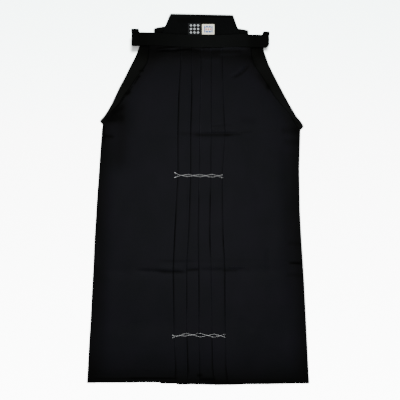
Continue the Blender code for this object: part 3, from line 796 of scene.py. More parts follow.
def side_lift(press_and_shadow, out):
    """How far the side fold springs up along ROWS: one wave beside the opening, and nothing below it."""
    wave = 0.5 + 0.5 * np.sin(ROWS / SIDE_WAVE + out)
    beside_opening = ease(OPENING_END - OPENING_SOFT, OPENING_END + OPENING_SOFT, ROWS)
    return SIDE_LIFT * (wave * (beside_opening * springs(press_and_shadow)))


def bell_near(x, line, soft):
    """exp(-((x - line) / soft)^2) for every row and column."""
    return np.exp(-(((x - line[:, None]) / soft) ** 2))


print("crests spring up", CREST_LIFT, "mm, give or take", CREST_LIFT_VARIES)

# %% Laying the layers of a front
STEEPEST_DRAPE = 0.3
TOP_DRAPE = 0.035
STRIP_LEVEL = 0.9
HEM_SETTLES = 45
HEM_FLATTER = 0.5


def lay_layers(stack, out, side, crests, step, presses_and_shadows):
    """X and height of every layer of a front, laid from the lowest to the uppermost."""
    ends, crest, fold = layer_ends(out, side, crests, step)
    lifted = {"inner": 2, "back_2": 1, "back_1": 0}
    xs, zs = {}, {}
    for name in LAID_ORDER:
        share = spacing(name)
        start, end = ends[name]
        x = start[:, None] + (end - start)[:, None] * share
        lift = least = 0.0
        if name in lifted:
            line = lifted[name]
            springing = crest_lift(line + 3 * (out < 0), presses_and_shadows[line])
            lift = springing[:, None] * bell_near(x, crest[line], CREST_SOFT)
        if name == "middle":
            lift = side_lift(presses_and_shadows[3], out)[:, None] * bell_near(x, fold, SIDE_SOFT)
        if name == "strip_0":
            settled = 1 - HEM_FLATTER * ease(HEM_Y + HEM_SETTLES, HEM_Y, ROWS)[:, None]
            least = read(LOFT, "z", x) * settled + CLOTH / 2
        drape = TOP_DRAPE if name == "strip_0" else STEEPEST_DRAPE
        level = STRIP_LEVEL if name in ("strip_1", "strip_2") else ANY_LEVEL
        xs[name], zs[name] = x, stack.lay(x, share, least, drape, lift, level)
    return xs, zs


print("laid in this order:", *LAID_ORDER)

# %% Joining the layers of a front
SHORT_INNER = 6
SHORT_TUCKED = 14
SHORT_FROM = 0.2
SHORT_TO = 0.6


def front_grid(stack, out, side, crests, step, presses_and_shadows, tucked):
    """Middle surface of a front as x, z and short, which is how far it ends above the hem."""
    xs, zs = lay_layers(stack, out, side, crests, step, presses_and_shadows)
    shorts = {"inner": (SHORT_INNER, SHORT_INNER), "strip_2": (0, SHORT_TUCKED if tucked else 0)}
    grid_x, grid_z, grid_short = [], [], []
    for n, name in enumerate(JOINED_ORDER):
        short_from, short_to = shorts.get(name, (0, 0))
        reached = ease(SHORT_FROM, SHORT_TO, spacing(name))
        grid_x.append(xs[name])
        grid_z.append(zs[name])
        grid_short.append(np.broadcast_to(short_from + (short_to - short_from) * reached, xs[name].shape))
        if n + 1 < len(JOINED_ORDER):
            bulge = out if n % 2 == 0 else -out
            after = JOINED_ORDER[n + 1]
            x, z = half_circles(xs[name][:, -1], zs[name][:, -1], zs[after][:, 0], bulge)
            grid_x.append(x)
            grid_z.append(z)
            grid_short.append(np.full(x.shape, float(short_to)))
    return tuple(np.concatenate(part, axis=1) for part in (grid_x, grid_z, grid_short))


print("joined in this order:", *JOINED_ORDER)

# %% [markdown]
# ## Waist and hem
# The panels are laid as if they were flat and cut square. On the real trousers the front rises to the band
# that it is sewn into, the back rises to the board, and the hem isn't one straight line, because each layer
# was cut and turned up by itself. Both ends are therefore brought to their place afterwards, by a shift
# that fades out along the cloth, so that nothing between them has to change.

# %% The ends of the panels
HEM_REACH = 110
GATHER_Y = 406
FRONT_REACH_END = 2.5
FRONT_REACH_MIDDLE = 8.3
FRONT_GAP = 0.6
FRONT_DROP_TO = 409
CREASES = (191, -209)
CREASE_HALF = 30
CREASE_LOFT = 1.0
CREASE_FREE = (60, 15)
PILE_LEAST = 4.0


def hem_shift(x, y, short):
    """How far a point moves along the garment so that the last row lies on the hem's line."""
    return (read(HEM, "y", x) + short - HEM_Y) * (1 - ease(HEM_Y, HEM_Y + HEM_REACH, y))


def front_rise(x, y, side):
    """Lift of the whole front: up to the band at the waist, and a little wherever it isn't pressed down."""
    reach = FRONT_REACH_END + (FRONT_REACH_MIDDLE - FRONT_REACH_END) * waist_fade(x)
    pressed = sum(1 - ease(0, CREASE_HALF, np.abs(y - crease)) for crease in CREASES)
    free = 1 - ease(side - CREASE_FREE[0], side - CREASE_FREE[1], np.abs(x))
    return reach * ease(FRONT_DROP_TO, WAIST_Y, y) + CREASE_LOFT * (1 - pressed) * free


def front_height(z, pile, x, y, side):
    """z (1 + relief / pile) + rise, so that a fold presses all layers under it and none cross."""
    return z * (1 + front_relief(x, y) / np.maximum(pile, PILE_LEAST)) + front_rise(x, y, side)


def front_surface(grid, side, stack):
    """Points of a front, with its upper end brought to the band's lower edge."""
    x, z, short = grid
    y = ROWS[:, None] + hem_shift(x, ROWS[:, None], short)
    top = band_middle(x) - BAND_WIDE / 2 - FRONT_GAP
    y = y + (top - WAIST_Y) * ease(GATHER_Y, WAIST_Y, ROWS[:, None])
    z = front_height(z, stack.sample(stack.top, x), x, y, np.abs(side["fold"])[:, None])
    return np.stack([x, y, z], axis=2)


print("front rises at the waist:", FRONT_REACH_END, "to", FRONT_REACH_MIDDLE, "mm")

# %% [markdown]
# ## From a middle surface to closed cloth
# The panels are worked out as the middle of the cloth. A Solidify modifier could thicken them, but layers
# that lie this close would touch. So each row of points is moved out along its normal to both sides, and
# the two faces and their rims are joined into one ring. A closed wall is better than a bare sheet: it has
# an edge to catch the light, and it casts a true shadow. The flat map of each panel is the length along the
# cloth by the length of the garment, so the weave follows every fold.


# %% Rings and faces
def wall_rings(middle, thick):
    """Rows of closed rings round a middle surface: middle plus and minus half the thickness.

    The offset is square to the section line, and longer at bends by 1 / cos of half the bend.
    """
    thick = np.broadcast_to(thick, middle.shape[:2])
    along = np.diff(middle[:, :, [0, 2]], axis=1)
    along = along / np.linalg.norm(along, axis=2, keepdims=True)
    normal = np.stack([-along[:, :, 1], along[:, :, 0]], axis=2)
    before = np.concatenate([normal[:, :1], normal], axis=1)
    after = np.concatenate([normal, normal[:, -1:]], axis=1)
    mean = before + after
    mean = mean / np.linalg.norm(mean, axis=2, keepdims=True)
    stretch = 1 / np.clip((mean * before).sum(axis=2), 0.5, 1)
    shift = np.zeros_like(middle)
    shift[:, :, 0] = mean[:, :, 0] * stretch * thick / 2
    shift[:, :, 2] = mean[:, :, 1] * stretch * thick / 2
    return np.concatenate([middle + shift, (middle - shift)[:, ::-1]], axis=1)


def ring_faces(rows, around):
    """Quads between neighbouring rings, and strips of quads that close the first and the last ring."""
    index = np.arange(rows * around).reshape(rows, around)
    after = np.roll(index, -1, axis=1)
    sides = np.stack([index[:-1], after[:-1], after[1:], index[1:]], axis=2).reshape(-1, 4)
    half = around // 2
    face, under = index[:, :half], index[:, ::-1][:, :half]
    first = np.stack([face[0, :-1], under[0, :-1], under[0, 1:], face[0, 1:]], axis=1)
    last = np.stack([face[-1, :-1], under[-1, :-1], under[-1, 1:], face[-1, 1:]], axis=1)
    return np.concatenate([sides, first, last[:, ::-1]])


def signed_volume(points, quads):
    """Sum of a . (b x c) / 6 over the two triangles of every quad: positive when faces point out."""
    a, b, c, d = (points[quads[:, k]] for k in range(4))
    return float((a * (np.cross(b, c) + np.cross(c, d))).sum() / 6)


print("two rings of 8 points make", len(ring_faces(2, 8)), "faces")

# %% Mesh and flat map
SHARP_ANGLE = 55


def mesh_of(name, points, quads, flat_map, values=None):
    """Mesh from arrays, facing out, with the flat map and one value a point for each named attribute."""
    if signed_volume(points, quads) < 0:
        quads = quads[:, ::-1]
    mesh = bpy.data.meshes.new(name)
    mesh.from_pydata((points * MM).tolist(), [], quads.tolist())
    layer = mesh.uv_layers.new(name="cloth")
    corner = np.empty(len(mesh.loops), np.int32)
    mesh.loops.foreach_get("vertex_index", corner)
    layer.data.foreach_set("uv", (flat_map[corner] * MM).astype(np.float32).reshape(-1))
    for key, value in (values or {}).items():
        attribute = mesh.attributes.new(key, "FLOAT", "POINT")
        attribute.data.foreach_set("value", value.astype(np.float32))
    mesh.shade_smooth()
    mesh.set_sharp_from_angle(angle=math.radians(SHARP_ANGLE))
    return mesh


print("edges are sharp from", SHARP_ANGLE, "degrees on")


# %% Panels and their cut
def flat_of(middle):
    """Flat map of a middle surface: length along its section line, and length along the garment."""
    step = np.linalg.norm(np.diff(middle[:, :, [0, 2]], axis=1), axis=2)
    across = np.concatenate([np.zeros((len(middle), 1)), np.cumsum(step, axis=1)], axis=1)
    return np.stack([across, middle[:, :, 1]], axis=2)


def both_faces(values):
    """One value a point of a middle surface, given to the upper and the under face of its wall."""
    return np.concatenate([values, values[:, ::-1]], axis=1)


def panel(name, middle, thick, values=None):
    """Closed wall of cloth round a middle surface, with its flat map."""
    rings = wall_rings(middle, thick)
    flat = both_faces(flat_of(middle)).reshape(-1, 2)
    doubled = {key: both_faces(value).reshape(-1) for key, value in (values or {}).items()}
    return mesh_of(name, rings.reshape(-1, 3), ring_faces(*rings.shape[:2]), flat, doubled)


def unfolded(middle):
    """The cut that a folded panel was made from: its greatest width, its length and its area, in metres."""
    widths = flat_of(middle)[:, -1, 0] * MM
    lines = middle[:, :, 1].mean(axis=1) * MM
    area = ((widths[1:] + widths[:-1]) / 2 * np.diff(lines)).sum()
    return (float(widths.max()), float(np.ptp(lines))), float(area)


def place(name, mesh, finish, node, slot):
    """Object at the origin that rides on the garment, stands for its solid and takes that finish."""
    mesh.materials.append(finish)
    item = linked(name, mesh)
    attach(item, "root")
    if node:
        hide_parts(node)
    print(name, len(mesh.polygons), "faces")
    return item


square = np.stack([*np.meshgrid([0.0, 100.0], [0.0, 100.0]), np.zeros((2, 2))], axis=2)
print("a flat square of 100 mm unfolds to", unfolded(square))

# %% [markdown]
# ## Shade and highlights painted on the cloth
# Under every pleat the cloth lies in shadow, and the rim of a pressed crest catches a little light. Both are
# painted into the cloth's colour. How dark each pleat's shadow is changes along it, with how hard it was
# pressed. Painting that on an image would work for one view. Here the mesh carries a few numbers at each
# point (how far it is from the crest that covers it, how deep that shadow is, how far it is from its own
# crest, and how dark the place is), and the finish turns them into painted shade and painted highlight. The
# tables say how they change along the garment.

# %% Which crest covers which layer
Mark = namedtuple("Mark", "layer line side")
RIGHT_COVERS = rows_of(
    Mark,
    ("strip_1", "line_1", 1), ("strip_2", "line_2", 1), ("lower", "fold", -1),
)
LEFT_COVERS = rows_of(
    Mark,
    ("strip_1", "line_5", -1), ("strip_2", "line_4", -1), ("strip_2", "line_3", 1), ("lower", "fold", 1),
)
RIGHT_CRESTS = rows_of(
    Mark,
    ("strip_0", "line_1", -1), ("strip_1", "line_2", -1), ("strip_2", "line_3", -1),
)
LEFT_CRESTS = rows_of(
    Mark,
    ("strip_0", "line_5", 1), ("strip_1", "line_4", 1),
)
MARK_FAR = 400.0
print("covered layers:", len(RIGHT_COVERS) + len(LEFT_COVERS))

# %% How hard each pleat is pressed, and how dark the shadow painted beside it is
# most values of line_1 to line_5 were not chosen by hand: a small program set them by comparing tones
# each column sets how far that crest or side fold springs up, and how dark a shadow is painted into the
# colour beside it
PressAndShadowRow = namedtuple("PressAndShadowRow", "y line_1 line_2 line_3 line_4 line_5 right left")
PRESS_AND_SHADOW = rows_of(
    PressAndShadowRow,
    (440, -0.60, -0.60, -0.60, -0.60, -0.60, 0.00, 0.10),
    (428, -0.50, -0.50, -0.50, -0.50, -0.50, 0.00, 0.10),
    (416, -0.42, -0.24, -0.12, -0.10, 0.12, 0.00, 0.10),
    (404, 0.10, -0.14, 0.10, 0.17, 0.23, 0.10, 0.20),
    (399, 0.20, -0.20, 0.04, 0.14, 0.25, 0.90, 0.20),
    (383, 0.25, -0.23, 0.15, 0.22, 0.27, 0.90, 0.20),
    (374, 0.32, -0.02, 0.05, 0.20, 0.29, 0.15, 0.20),
    (362, 0.41, 0.23, -0.15, 0.18, 0.18, 0.80, 0.25),
    (345, 0.33, 0.38, -0.37, 0.16, -0.03, 0.60, 0.50),
    (328, 0.43, 0.47, -0.32, 0.15, 0.03, 0.60, 0.60),
    (318, 0.78, 0.74, -0.24, 0.14, 0.12, 0.85, 0.30),
    (292, 0.89, 0.87, -0.26, 0.20, 0.04, 0.70, 0.20),
    (270, 0.78, 0.73, -0.11, 0.10, 0.25, 0.50, 0.15),
    (233, 0.72, 0.80, -0.18, 0.09, 0.40, 0.40, 0.20),
    (200, 0.60, 0.57, -0.45, -0.25, 0.15, 0.10, 0.30),
    (180, 0.50, 0.50, -0.33, -0.04, -0.15, 0.00, 0.05),
    (147, 0.45, 0.41, -0.02, 0.28, 0.12, 0.00, 0.00),
    (106, 0.44, 0.46, 0.19, 0.31, 0.16, 0.00, 0.00),
    (35, 0.41, 0.47, -0.29, 0.05, 0.24, 0.00, 0.00),
    (0, 0.32, 0.56, 0.31, 0.75, 0.35, 0.00, 0.00),
    (-71, 0.89, 0.38, 0.27, 0.40, 0.25, 0.00, 0.00),
    (-130, 0.86, 0.29, 0.27, 0.86, 0.75, 0.00, 0.00),
    (-177, 0.59, 0.12, 0.22, -0.02, 0.29, 0.00, 0.00),
    (-248, 0.70, 0.35, 0.63, 0.14, 0.69, 0.00, 0.00),
    (-307, 0.58, 0.49, 0.45, -0.08, 0.60, 0.00, 0.00),
    (-366, 0.27, -0.26, 0.00, -0.12, 0.17, 0.00, 0.00),
    (-425, -0.07, 0.72, -0.14, 0.59, -0.07, 0.00, 0.00),
    (-472, 0.42, 0.60, 0.27, 0.50, 0.22, 0.00, 0.00),
    (-502, 0.57, 0.69, 0.06, 0.52, 0.53, 0.00, 0.00),
    (-525, 0.49, -0.22, 0.38, 0.36, 0.66, 0.00, 0.00),
    (-540, 0.50, 0.50, 0.50, 0.50, 0.50, 0.00, 0.00),
)
PRESS_AND_SHADOW_CORNER = 2.0
print("hardest press:", max(max(row[1:]) for row in PRESS_AND_SHADOW))

# %% How much shade is painted into the front's colour
# painted shade: darker towards the waist, the hem and the folded sides, where less light reaches the cloth,
# with a shade of its own on the lower strip
ShadeRow = namedtuple("ShadeRow", "y middle side reach strip")
SHADE = rows_of(
    ShadeRow,
    (447, 0.76, 0.89, 70, 0.88),
    (430, 0.75, 0.88, 70, 0.82),
    (415, 0.57, 0.76, 60, 0.62),
    (403, 0.44, 0.63, 50, 0.48),
    (390, 0.35, 0.53, 45, 0.42),
    (350, 0.25, 0.46, 40, 0.52),
    (335, 0.22, 0.42, 40, 0.54),
    (318, 0.20, 0.38, 40, 0.40),
    (290, 0.17, 0.36, 40, 0.32),
    (268, 0.16, 0.42, 42, 0.22),
    (229, 0.15, 0.60, 45, 0.35),
    (200, 0.14, 0.62, 45, 0.40),
    (0, 0.14, 0.62, 55, 0.40),
    (-200, 0.09, 0.63, 60, 0.40),
    (-330, 0.10, 0.55, 60, 0.40),
    (-420, 0.09, 0.51, 60, 0.40),
    (-440, 0.11, 0.53, 60, 0.40),
    (-470, 0.24, 0.62, 60, 0.40),
    (-490, 0.31, 0.68, 60, 0.40),
    (-510, 0.45, 0.76, 60, 0.40),
    (-525, 0.60, 0.80, 60, 0.40),
    (-533, 0.76, 0.86, 60, 0.40),
    (-540, 0.88, 0.90, 60, 0.40),
)
# the pleats' painted shadows grow wider towards the hem
WiderRow = namedtuple("WiderRow", "y times")
GAP_WIDER = rows_of(
    WiderRow,
    (-465, 1.0), (-500, 1.4), (-540, 1.5),
)
print("shade of the middle:", SHADE[0].middle, "to", min(row.middle for row in SHADE))


# %% The marks of a front
def layer_columns():
    """First and last column of each layer of a front, in the order in which they are joined."""
    columns, at = {}, 0
    for name in JOINED_ORDER:
        columns[name] = slice(at, at + COLUMNS[name])
        at += COLUMNS[name] + TURN_STEPS - 1
    return columns


def crest_marks(x, lines, covers, crests, fold_press_and_shadow):
    """gap to the crest that covers a layer, how dark the shadow painted under that crest is, and distance to
    its own crest.
    """
    gap, own = np.full(x.shape, MARK_FAR), np.full(x.shape, MARK_FAR)
    press_and_shadow = np.zeros(x.shape)
    columns = layer_columns()
    for mark in covers:
        part = columns[mark.layer]
        away = mark.side * (x[:, part] - lines[mark.line][:, None])
        name = fold_press_and_shadow if mark.line == "fold" else mark.line
        strength = column(PRESS_AND_SHADOW, name, ROWS, PRESS_AND_SHADOW_CORNER)[:, None]
        nearer = np.abs(away) < np.abs(gap[:, part])
        press_and_shadow[:, part] = np.where(nearer, strength, press_and_shadow[:, part])
        gap[:, part] = np.where(nearer, away, gap[:, part])
    for mark in crests:
        part = columns[mark.layer]
        own[:, part] = mark.side * (x[:, part] - lines[mark.line][:, None])
    return gap, press_and_shadow, own


def front_shade(x, y, fold, part):
    """Painted shade of a front: from middle to side over reach, its own on the lower layer, and the table of
    painted shade and highlights.
    """
    inward = np.abs(fold)[:, None] - np.abs(x)
    rim = 1 - ease(0, 1, inward / column(SHADE, "reach", y))
    shade = column(SHADE, "middle", y)
    shade = shade + (column(SHADE, "side", y) - shade) * rim
    shade[:, part] = column(SHADE, "strip", y[:, part])
    return np.clip(shade - fold_relief(x, y, FRONT_SHADE_AND_HIGHLIGHTS), 0, 1)


def front_marks(middle, lines, covers, crests, fold_press_and_shadow):
    """Marks of a front, rows by columns: gap, the darkness of the shadow painted under the covering crest,
    own, the painted shade, and lower, which is 1 on the lower layer.
    """
    x, y = middle[:, :, 0], middle[:, :, 1]
    gap, press_and_shadow, own = crest_marks(x, lines, covers, crests, fold_press_and_shadow)
    gap = gap / read(GAP_WIDER, "times", y)
    part = layer_columns()["lower"]
    lower = np.zeros(x.shape)
    lower[:, part] = 1.0
    shade = front_shade(x, y, lines["fold"], part)
    return {"gap": gap, "own": own, "press_and_shadow": press_and_shadow, "lower": lower, "shade": shade}


print("lower layer has the columns", layer_columns()["lower"])

# %% [markdown]
# ## The black cloth
# It is a fine twill, dyed nearly black. From a step away the weave can't be seen, only a dull face that
# turns a little bluer and paler where light rakes over it; the finish paints that into the colour, with
# shade a little yellower than lit cloth. The colour is a very dark blue-grey with slow clouds in it. The
# surface is a bump on the flat map: fibres a millimetre apart, and broad, very shallow diagonal ribs. Single
# yarns are left out, because from here they would only flicker, and as real faces they would be millions.
# The lower layer at the sides shows the cloth's other face, which is greener.

# %% How much light is painted into the cloth's colour
GAP_FROM = 0.4
GAP_TO = 5.4
# a painted highlight on each crest's rim, fading out from CREST_FROM to CREST_TO mm off the crest
CREST_FROM = 0.4
CREST_TO = 3.0
CREST_PALE = 0.25
SHADE_LEAVES = 0.10


def lit_share(recipe):
    """(1 - pleat shadow * step of gap) * (1 - shade): the share of light painted into the colour at each
    place of the cloth.
    """
    near = recipe.span(
        recipe.mark("gap"), "SMOOTHSTEP", From_Min=GAP_FROM, From_Max=GAP_TO, To_Min=1.0, To_Max=0.0
    )
    open_part = recipe.number("SUBTRACT", 1.0, recipe.number("MULTIPLY", near, recipe.mark("press_and_shadow")))
    lit_part = recipe.number("SUBTRACT", 1.0, recipe.mark("shade"))
    return recipe.number("MULTIPLY", open_part, lit_part)


def cloth_level(recipe, lit):
    """Brightness painted into the colour: SHADE_LEAVES to 1 with the painted light, times up to 1 plus the
    crest share on a crest's rim, as a painted highlight.
    """
    crest = recipe.span(
        recipe.mark("own"), "SMOOTHSTEP",
        From_Min=CREST_FROM, From_Max=CREST_TO, To_Min=1.0 + CREST_PALE, To_Max=1.0,
    )
    return recipe.number("MULTIPLY", recipe.span(lit, To_Min=SHADE_LEAVES, To_Max=1.0), crest)


print("the deepest shade leaves", SHADE_LEAVES, "of the colour")

# %% Ribs and fibres
# a wave texture of scale 1 has a band every 0.314 m
WAVE_APART = 0.314
RIB_APART = 0.0056547
TWILL_HEIGHT = 0.00006
TWILL_LEAN = 58
FIBRES = 900.0
FIBRES_IN_RIBS = 0.35


def twill_bump(recipe, flat):
    """Diagonal ribs, one every RIB_APART, with loose fibres mixed in."""
    lean = (0, 0, math.radians(TWILL_LEAN))
    turned = (recipe.add("ShaderNodeMapping", Vector=flat, Rotation=lean), "Vector")
    ribs = recipe.add(
        "ShaderNodeTexWave", {"bands_direction": "X"}, Vector=turned, Scale=WAVE_APART / RIB_APART,
        Distortion=0.6, Detail=1.0, Detail_Scale=2.0,
    )
    mixed = {"i0": FIBRES_IN_RIBS, "i2": (ribs, "Fac"), "i3": recipe.noise(flat, FIBRES, 2.0)}
    rise = recipe.add("ShaderNodeMix", {"data_type": "FLOAT"}, **mixed)
    bump = recipe.add("ShaderNodeBump", Strength=0.6, Distance=TWILL_HEIGHT, Height=(rise, "Result"))
    return bump, "Normal"


print("ribs are", RIB_APART, "m apart")

# %% Cloth finish
CLOUDS = 9.0
CLOUD_FROM, CLOUD_TO = 0.3, 0.7
# painted shade is a little yellower than the painted light
DIM_CAST = ((0.2, (1.0, 1.0, 0.72)), (0.75, (1.0, 1.0, 1.0)))
SHADE_DULLS = 0.3


def over(recipe, mask, below, above):
    """above where the mask is 1, below elsewhere; each is a colour or a link."""
    feed = {"i0": mask}
    feed["i6"] = below if hasattr(below[0], "outputs") else (*below, 1)
    feed["i7"] = above if hasattr(above[0], "outputs") else (*above, 1)
    return recipe.add("ShaderNodeMix", {"data_type": "RGBA"}, **feed), "Result"


def cloth_finish(name, dark, pale, other, rough, specular):
    """Twill: clouds between two near-blacks, or the other face's colour, times its brightness.

    What lies in the painted shade is also painted a little yellower, and is duller.
    """
    recipe = Recipe(name)
    clouds = recipe.noise(recipe.place(), CLOUDS, 4.0, Roughness=0.6)
    tint = recipe.ramp(clouds, ((CLOUD_FROM, dark), (CLOUD_TO, pale)))
    face = over(recipe, recipe.mark("lower"), tint, other)
    lit = lit_share(recipe)
    colour = recipe.vector("MULTIPLY", face, recipe.ramp(lit, DIM_CAST))
    return recipe.finish(
        Base_Color=recipe.scaled(colour, cloth_level(recipe, lit)),
        Roughness=recipe.span(lit, To_Min=rough + SHADE_DULLS, To_Max=rough),
        Specular_IOR_Level=specular, Normal=twill_bump(recipe, recipe.flat()),
    )


# %% The three cloths
black_cloth = cloth_finish(
    "black_cloth",
    dark=(0.00404, 0.00445, 0.00560), pale=(0.00528, 0.00509, 0.00730), other=(0.00322, 0.00357, 0.00345),
    rough=0.50, specular=0.03,
)
strap_cloth = cloth_finish(
    "strap_cloth",
    dark=(0.00209, 0.00248, 0.00226), pale=(0.00278, 0.00313, 0.00304), other=(0.00239, 0.00278, 0.00261),
    rough=0.55, specular=0.022,
)
board_cloth = cloth_finish(
    "board_cloth",
    dark=(0.00130, 0.00165, 0.00157), pale=(0.00183, 0.00217, 0.00209), other=(0.00165, 0.00196, 0.00187),
    rough=0.55, specular=0.022,
)
print("cloths:", black_cloth.name, strap_cloth.name, board_cloth.name)

# %% [markdown]
# ## The back panels
# Each back is one plain piece. It lies flat on the table, is folded at the middle of the back and runs back
# inside the leg to the inseam. It is laid first, because the fronts rest on it. A plane with two edge loops
# would look the same from above, but the fold shows from behind and at the hem.

# %% Middle surfaces of the backs
BACK_COLUMNS = 30
BACK_INNER_COLUMNS = 8
BACK_DROP_TO = 420
SEAM = 0.35


def back_grid(stack, out, edge, seam, inseam):
    """Middle surface of a back panel: flat on the table, then turned up at the seam and back inside."""
    seam_x = inside(seam, out) * np.ones(len(ROWS))
    share = np.linspace(0, 1, BACK_COLUMNS)
    flat_x = edge[:, None] + (seam_x - edge)[:, None] * share
    flat_z = np.full(flat_x.shape, CLOTH / 2)
    inner_share = np.linspace(0, 1, BACK_INNER_COLUMNS)
    inner_x = seam_x[:, None] + (inseam - seam_x)[:, None] * inner_share
    inner_z = flat_z[:, :BACK_INNER_COLUMNS] + LAYER
    stack.cover(flat_x, flat_z, share)
    stack.cover(inner_x, inner_z, inner_share)
    turn_x, turn_z = half_circles(seam_x, flat_z[:, -1], inner_z[:, 0], out)
    x = np.concatenate([flat_x, turn_x, inner_x], axis=1)
    z = np.concatenate([flat_z, turn_z, inner_z], axis=1)
    short = np.zeros(x.shape)
    short[:, BACK_COLUMNS:] = SHORT_INNER
    return x, z, short


def back_rise(y):
    """Lift of the back where it meets the lower edge of the board."""
    return (board_top(BOARD_LOW_Y) - BOARD_THICK) * ease(BACK_DROP_TO, BOARD_LOW_Y, y)


def back_surface(grid):
    """Points of a back, with its upper end brought to the board's lower edge."""
    x, z, short = grid
    y = ROWS[:, None] + hem_shift(x, ROWS[:, None], short)
    y = y + (BOARD_LOW_Y - SEAM - WAIST_Y) * ease(GATHER_Y, WAIST_Y, ROWS[:, None])
    return np.stack([x, y, z + back_rise(y)], axis=2)


def back_edge(fold, corner):
    """X of a back's side: straight from the board's corner to the side opening's end, then the fold's."""
    share = np.maximum(0, ROWS - OPENING_END) / (BOARD_LOW_Y - OPENING_END)
    return fold * (1 - share) + corner * share


print("back rises at the board:", round(float(back_rise(BOARD_LOW_Y)), 1), "mm")

# %% Build the backs
BACK_SEAM_X = -24.0
BOARD_LOW_LEFT = -120.6
BOARD_LOW_RIGHT = 136.6
SIDE_CORNER = 1.5


def columns_of(table, soft=5.0):
    """Every column of a table but its first, read at the section lines."""
    return {name: column(table, name, ROWS, soft) for name in table[0]._fields[1:]}


pleat = columns_of(PLEATS)
left_side = columns_of(LEFT_SIDE, SIDE_CORNER)
right_side = columns_of(RIGHT_SIDE, SIDE_CORNER)
left_back_edge = back_edge(left_side["fold"], BOARD_LOW_RIGHT) - SEAM
right_back_edge = back_edge(right_side["fold"], BOARD_LOW_LEFT) + SEAM
left_inseam = inseam_of(pleat["line_5"], -1)
right_inseam = inseam_of(pleat["line_1"], 1)
back_left = back_surface(back_grid(stack, -1, left_back_edge, BACK_SEAM_X, left_inseam))
back_right = back_surface(back_grid(stack, 1, right_back_edge, BACK_SEAM_X - SEAM, right_inseam))
print("backs:", back_left.shape, back_right.shape)

# %% [markdown]
# ## The fronts
# The wearer's left leg has two pleats, and its centre part is tucked under the third one. That third pleat
# belongs to the right leg, which is laid last and so lies over the left leg at the middle. The order of
# laying is what makes the overlap right, and neither leg has to be moved up by hand.

# %% Build the fronts
TUCK_X = -24.0
LEFT_STEP_X = 10.0

everywhere = np.ones(len(ROWS))
press_and_shadow = columns_of(PRESS_AND_SHADOW, PRESS_AND_SHADOW_CORNER)
left_lines = (pleat["line_5"], pleat["line_4"], TUCK_X * everywhere)
right_lines = (pleat["line_1"], pleat["line_2"], pleat["line_3"])
left_presses_and_shadows = [press_and_shadow[name] for name in ("line_5", "line_4", "line_3", "left")]
right_presses_and_shadows = [press_and_shadow[name] for name in ("line_1", "line_2", "line_3", "right")]
left_grid = front_grid(stack, -1, left_side, left_lines, LEFT_STEP_X * everywhere, left_presses_and_shadows, True)
right_grid = front_grid(stack, 1, right_side, right_lines, TUCK_X * everywhere, right_presses_and_shadows, False)
front_left = front_surface(left_grid, left_side, stack)
front_right = front_surface(right_grid, right_side, stack)
print("pile at its thickest:", round(float(stack.top.max()), 1), "mm")

# %% Place the four leg panels
WALL = 0.85
HEM_TURNED = 0.5
HEM_TURN_FROM = 14
HEM_TURN_TO = 22


def hem_thickness(middle):
    """The wall, growing towards the hem, where the cloth is turned up twice."""
    turned = HEM_TURNED * ease(HEM_Y + HEM_TURN_TO, HEM_Y + HEM_TURN_FROM, ROWS)
    return WALL + turned[:, None] * np.ones(middle.shape[1])


def plain_marks(middle):
    """A mark of no crest, for cloth that has no pleats."""
    return {"own": np.full(middle.shape[:2], MARK_FAR)}


right_folds = {**pleat, "fold": right_side["fold"]}
left_folds = {**pleat, "fold": left_side["fold"]}
right_marks = front_marks(front_right, right_folds, RIGHT_COVERS, RIGHT_CRESTS, "right")
left_marks = front_marks(front_left, left_folds, LEFT_COVERS, LEFT_CRESTS, "left")
right_wall = hem_thickness(front_right)
left_wall = hem_thickness(front_left)
PANELS = (
    ("right_front", "front_right_leg", front_right, right_wall, right_marks, "back_right_leg"),
    ("left_front", "front_left_leg", front_left, left_wall, left_marks, "back_left_leg"),
    ("right_back", "back_right_leg", back_right, CLOTH, plain_marks(back_right), "floor"),
    ("left_back", "back_left_leg", back_left, CLOTH, plain_marks(back_left), "floor"),
)
for name, node, middle, thick, marks, under in PANELS:
    item = place(name, panel(name, middle, thick, marks), black_cloth, node, "black_cloth")

# %% [markdown]
# ## The board
# The board at the back waist is stiff, covered with the same cloth and thinner at its rounded edges. It is
# a closed wall like the panels, but with a thickness of its own at every point: full over most of it, and
# running down a quarter circle to the edges. A box with bevelled edges would be simpler, but the cloth on
# a real board is slack in places, and its hollows have to fade out before the edge.

# %% Measures of the board
BoardRow = namedtuple("BoardRow", "y left right")
BOARD = rows_of(
    BoardRow,
    (546.2, -80.6, 101.6), (543.6, -83.0, 102.6), (528, -90.2, 108.6), (509, -99.0, 115.6),
    (488, -107.6, 124.0), (470, -115.4, 131.6), (459.6, -120.0, 136.0), (457.2, -120.6, 136.6),
)
BOARD_TOP_SKEW = 4.0
BOARD_SKEW_FROM = 470
BOARD_ROUND = 3.0
BOARD_EDGE = 0.25
BOARD_WIDE = 230
BOARD_ROWS = 56
BOARD_COLUMNS = 110
ROUND_FROM = 0.25
ROUND_STEPS = 5
BOARD_FOLDS = rows_of(
    Fold,
    # soft hollow under the top edge, which lifts the rim beside it
    (-74, 541.5, 30, 540.5, 0, 2.6, -0.5), (8, 541, 100, 538, 0, 2.2, 0.8),
    (40, 534, 106, 532, 0, 3.0, -0.6), (-96, 512, -60, 540, 0, 5, 0.3), (70, 530, 112, 500, 0, 6, 0.4),
    (-70, 498, -34, 506, 0, 6, 0.3),
)
BOARD_RIPPLE = 1.6
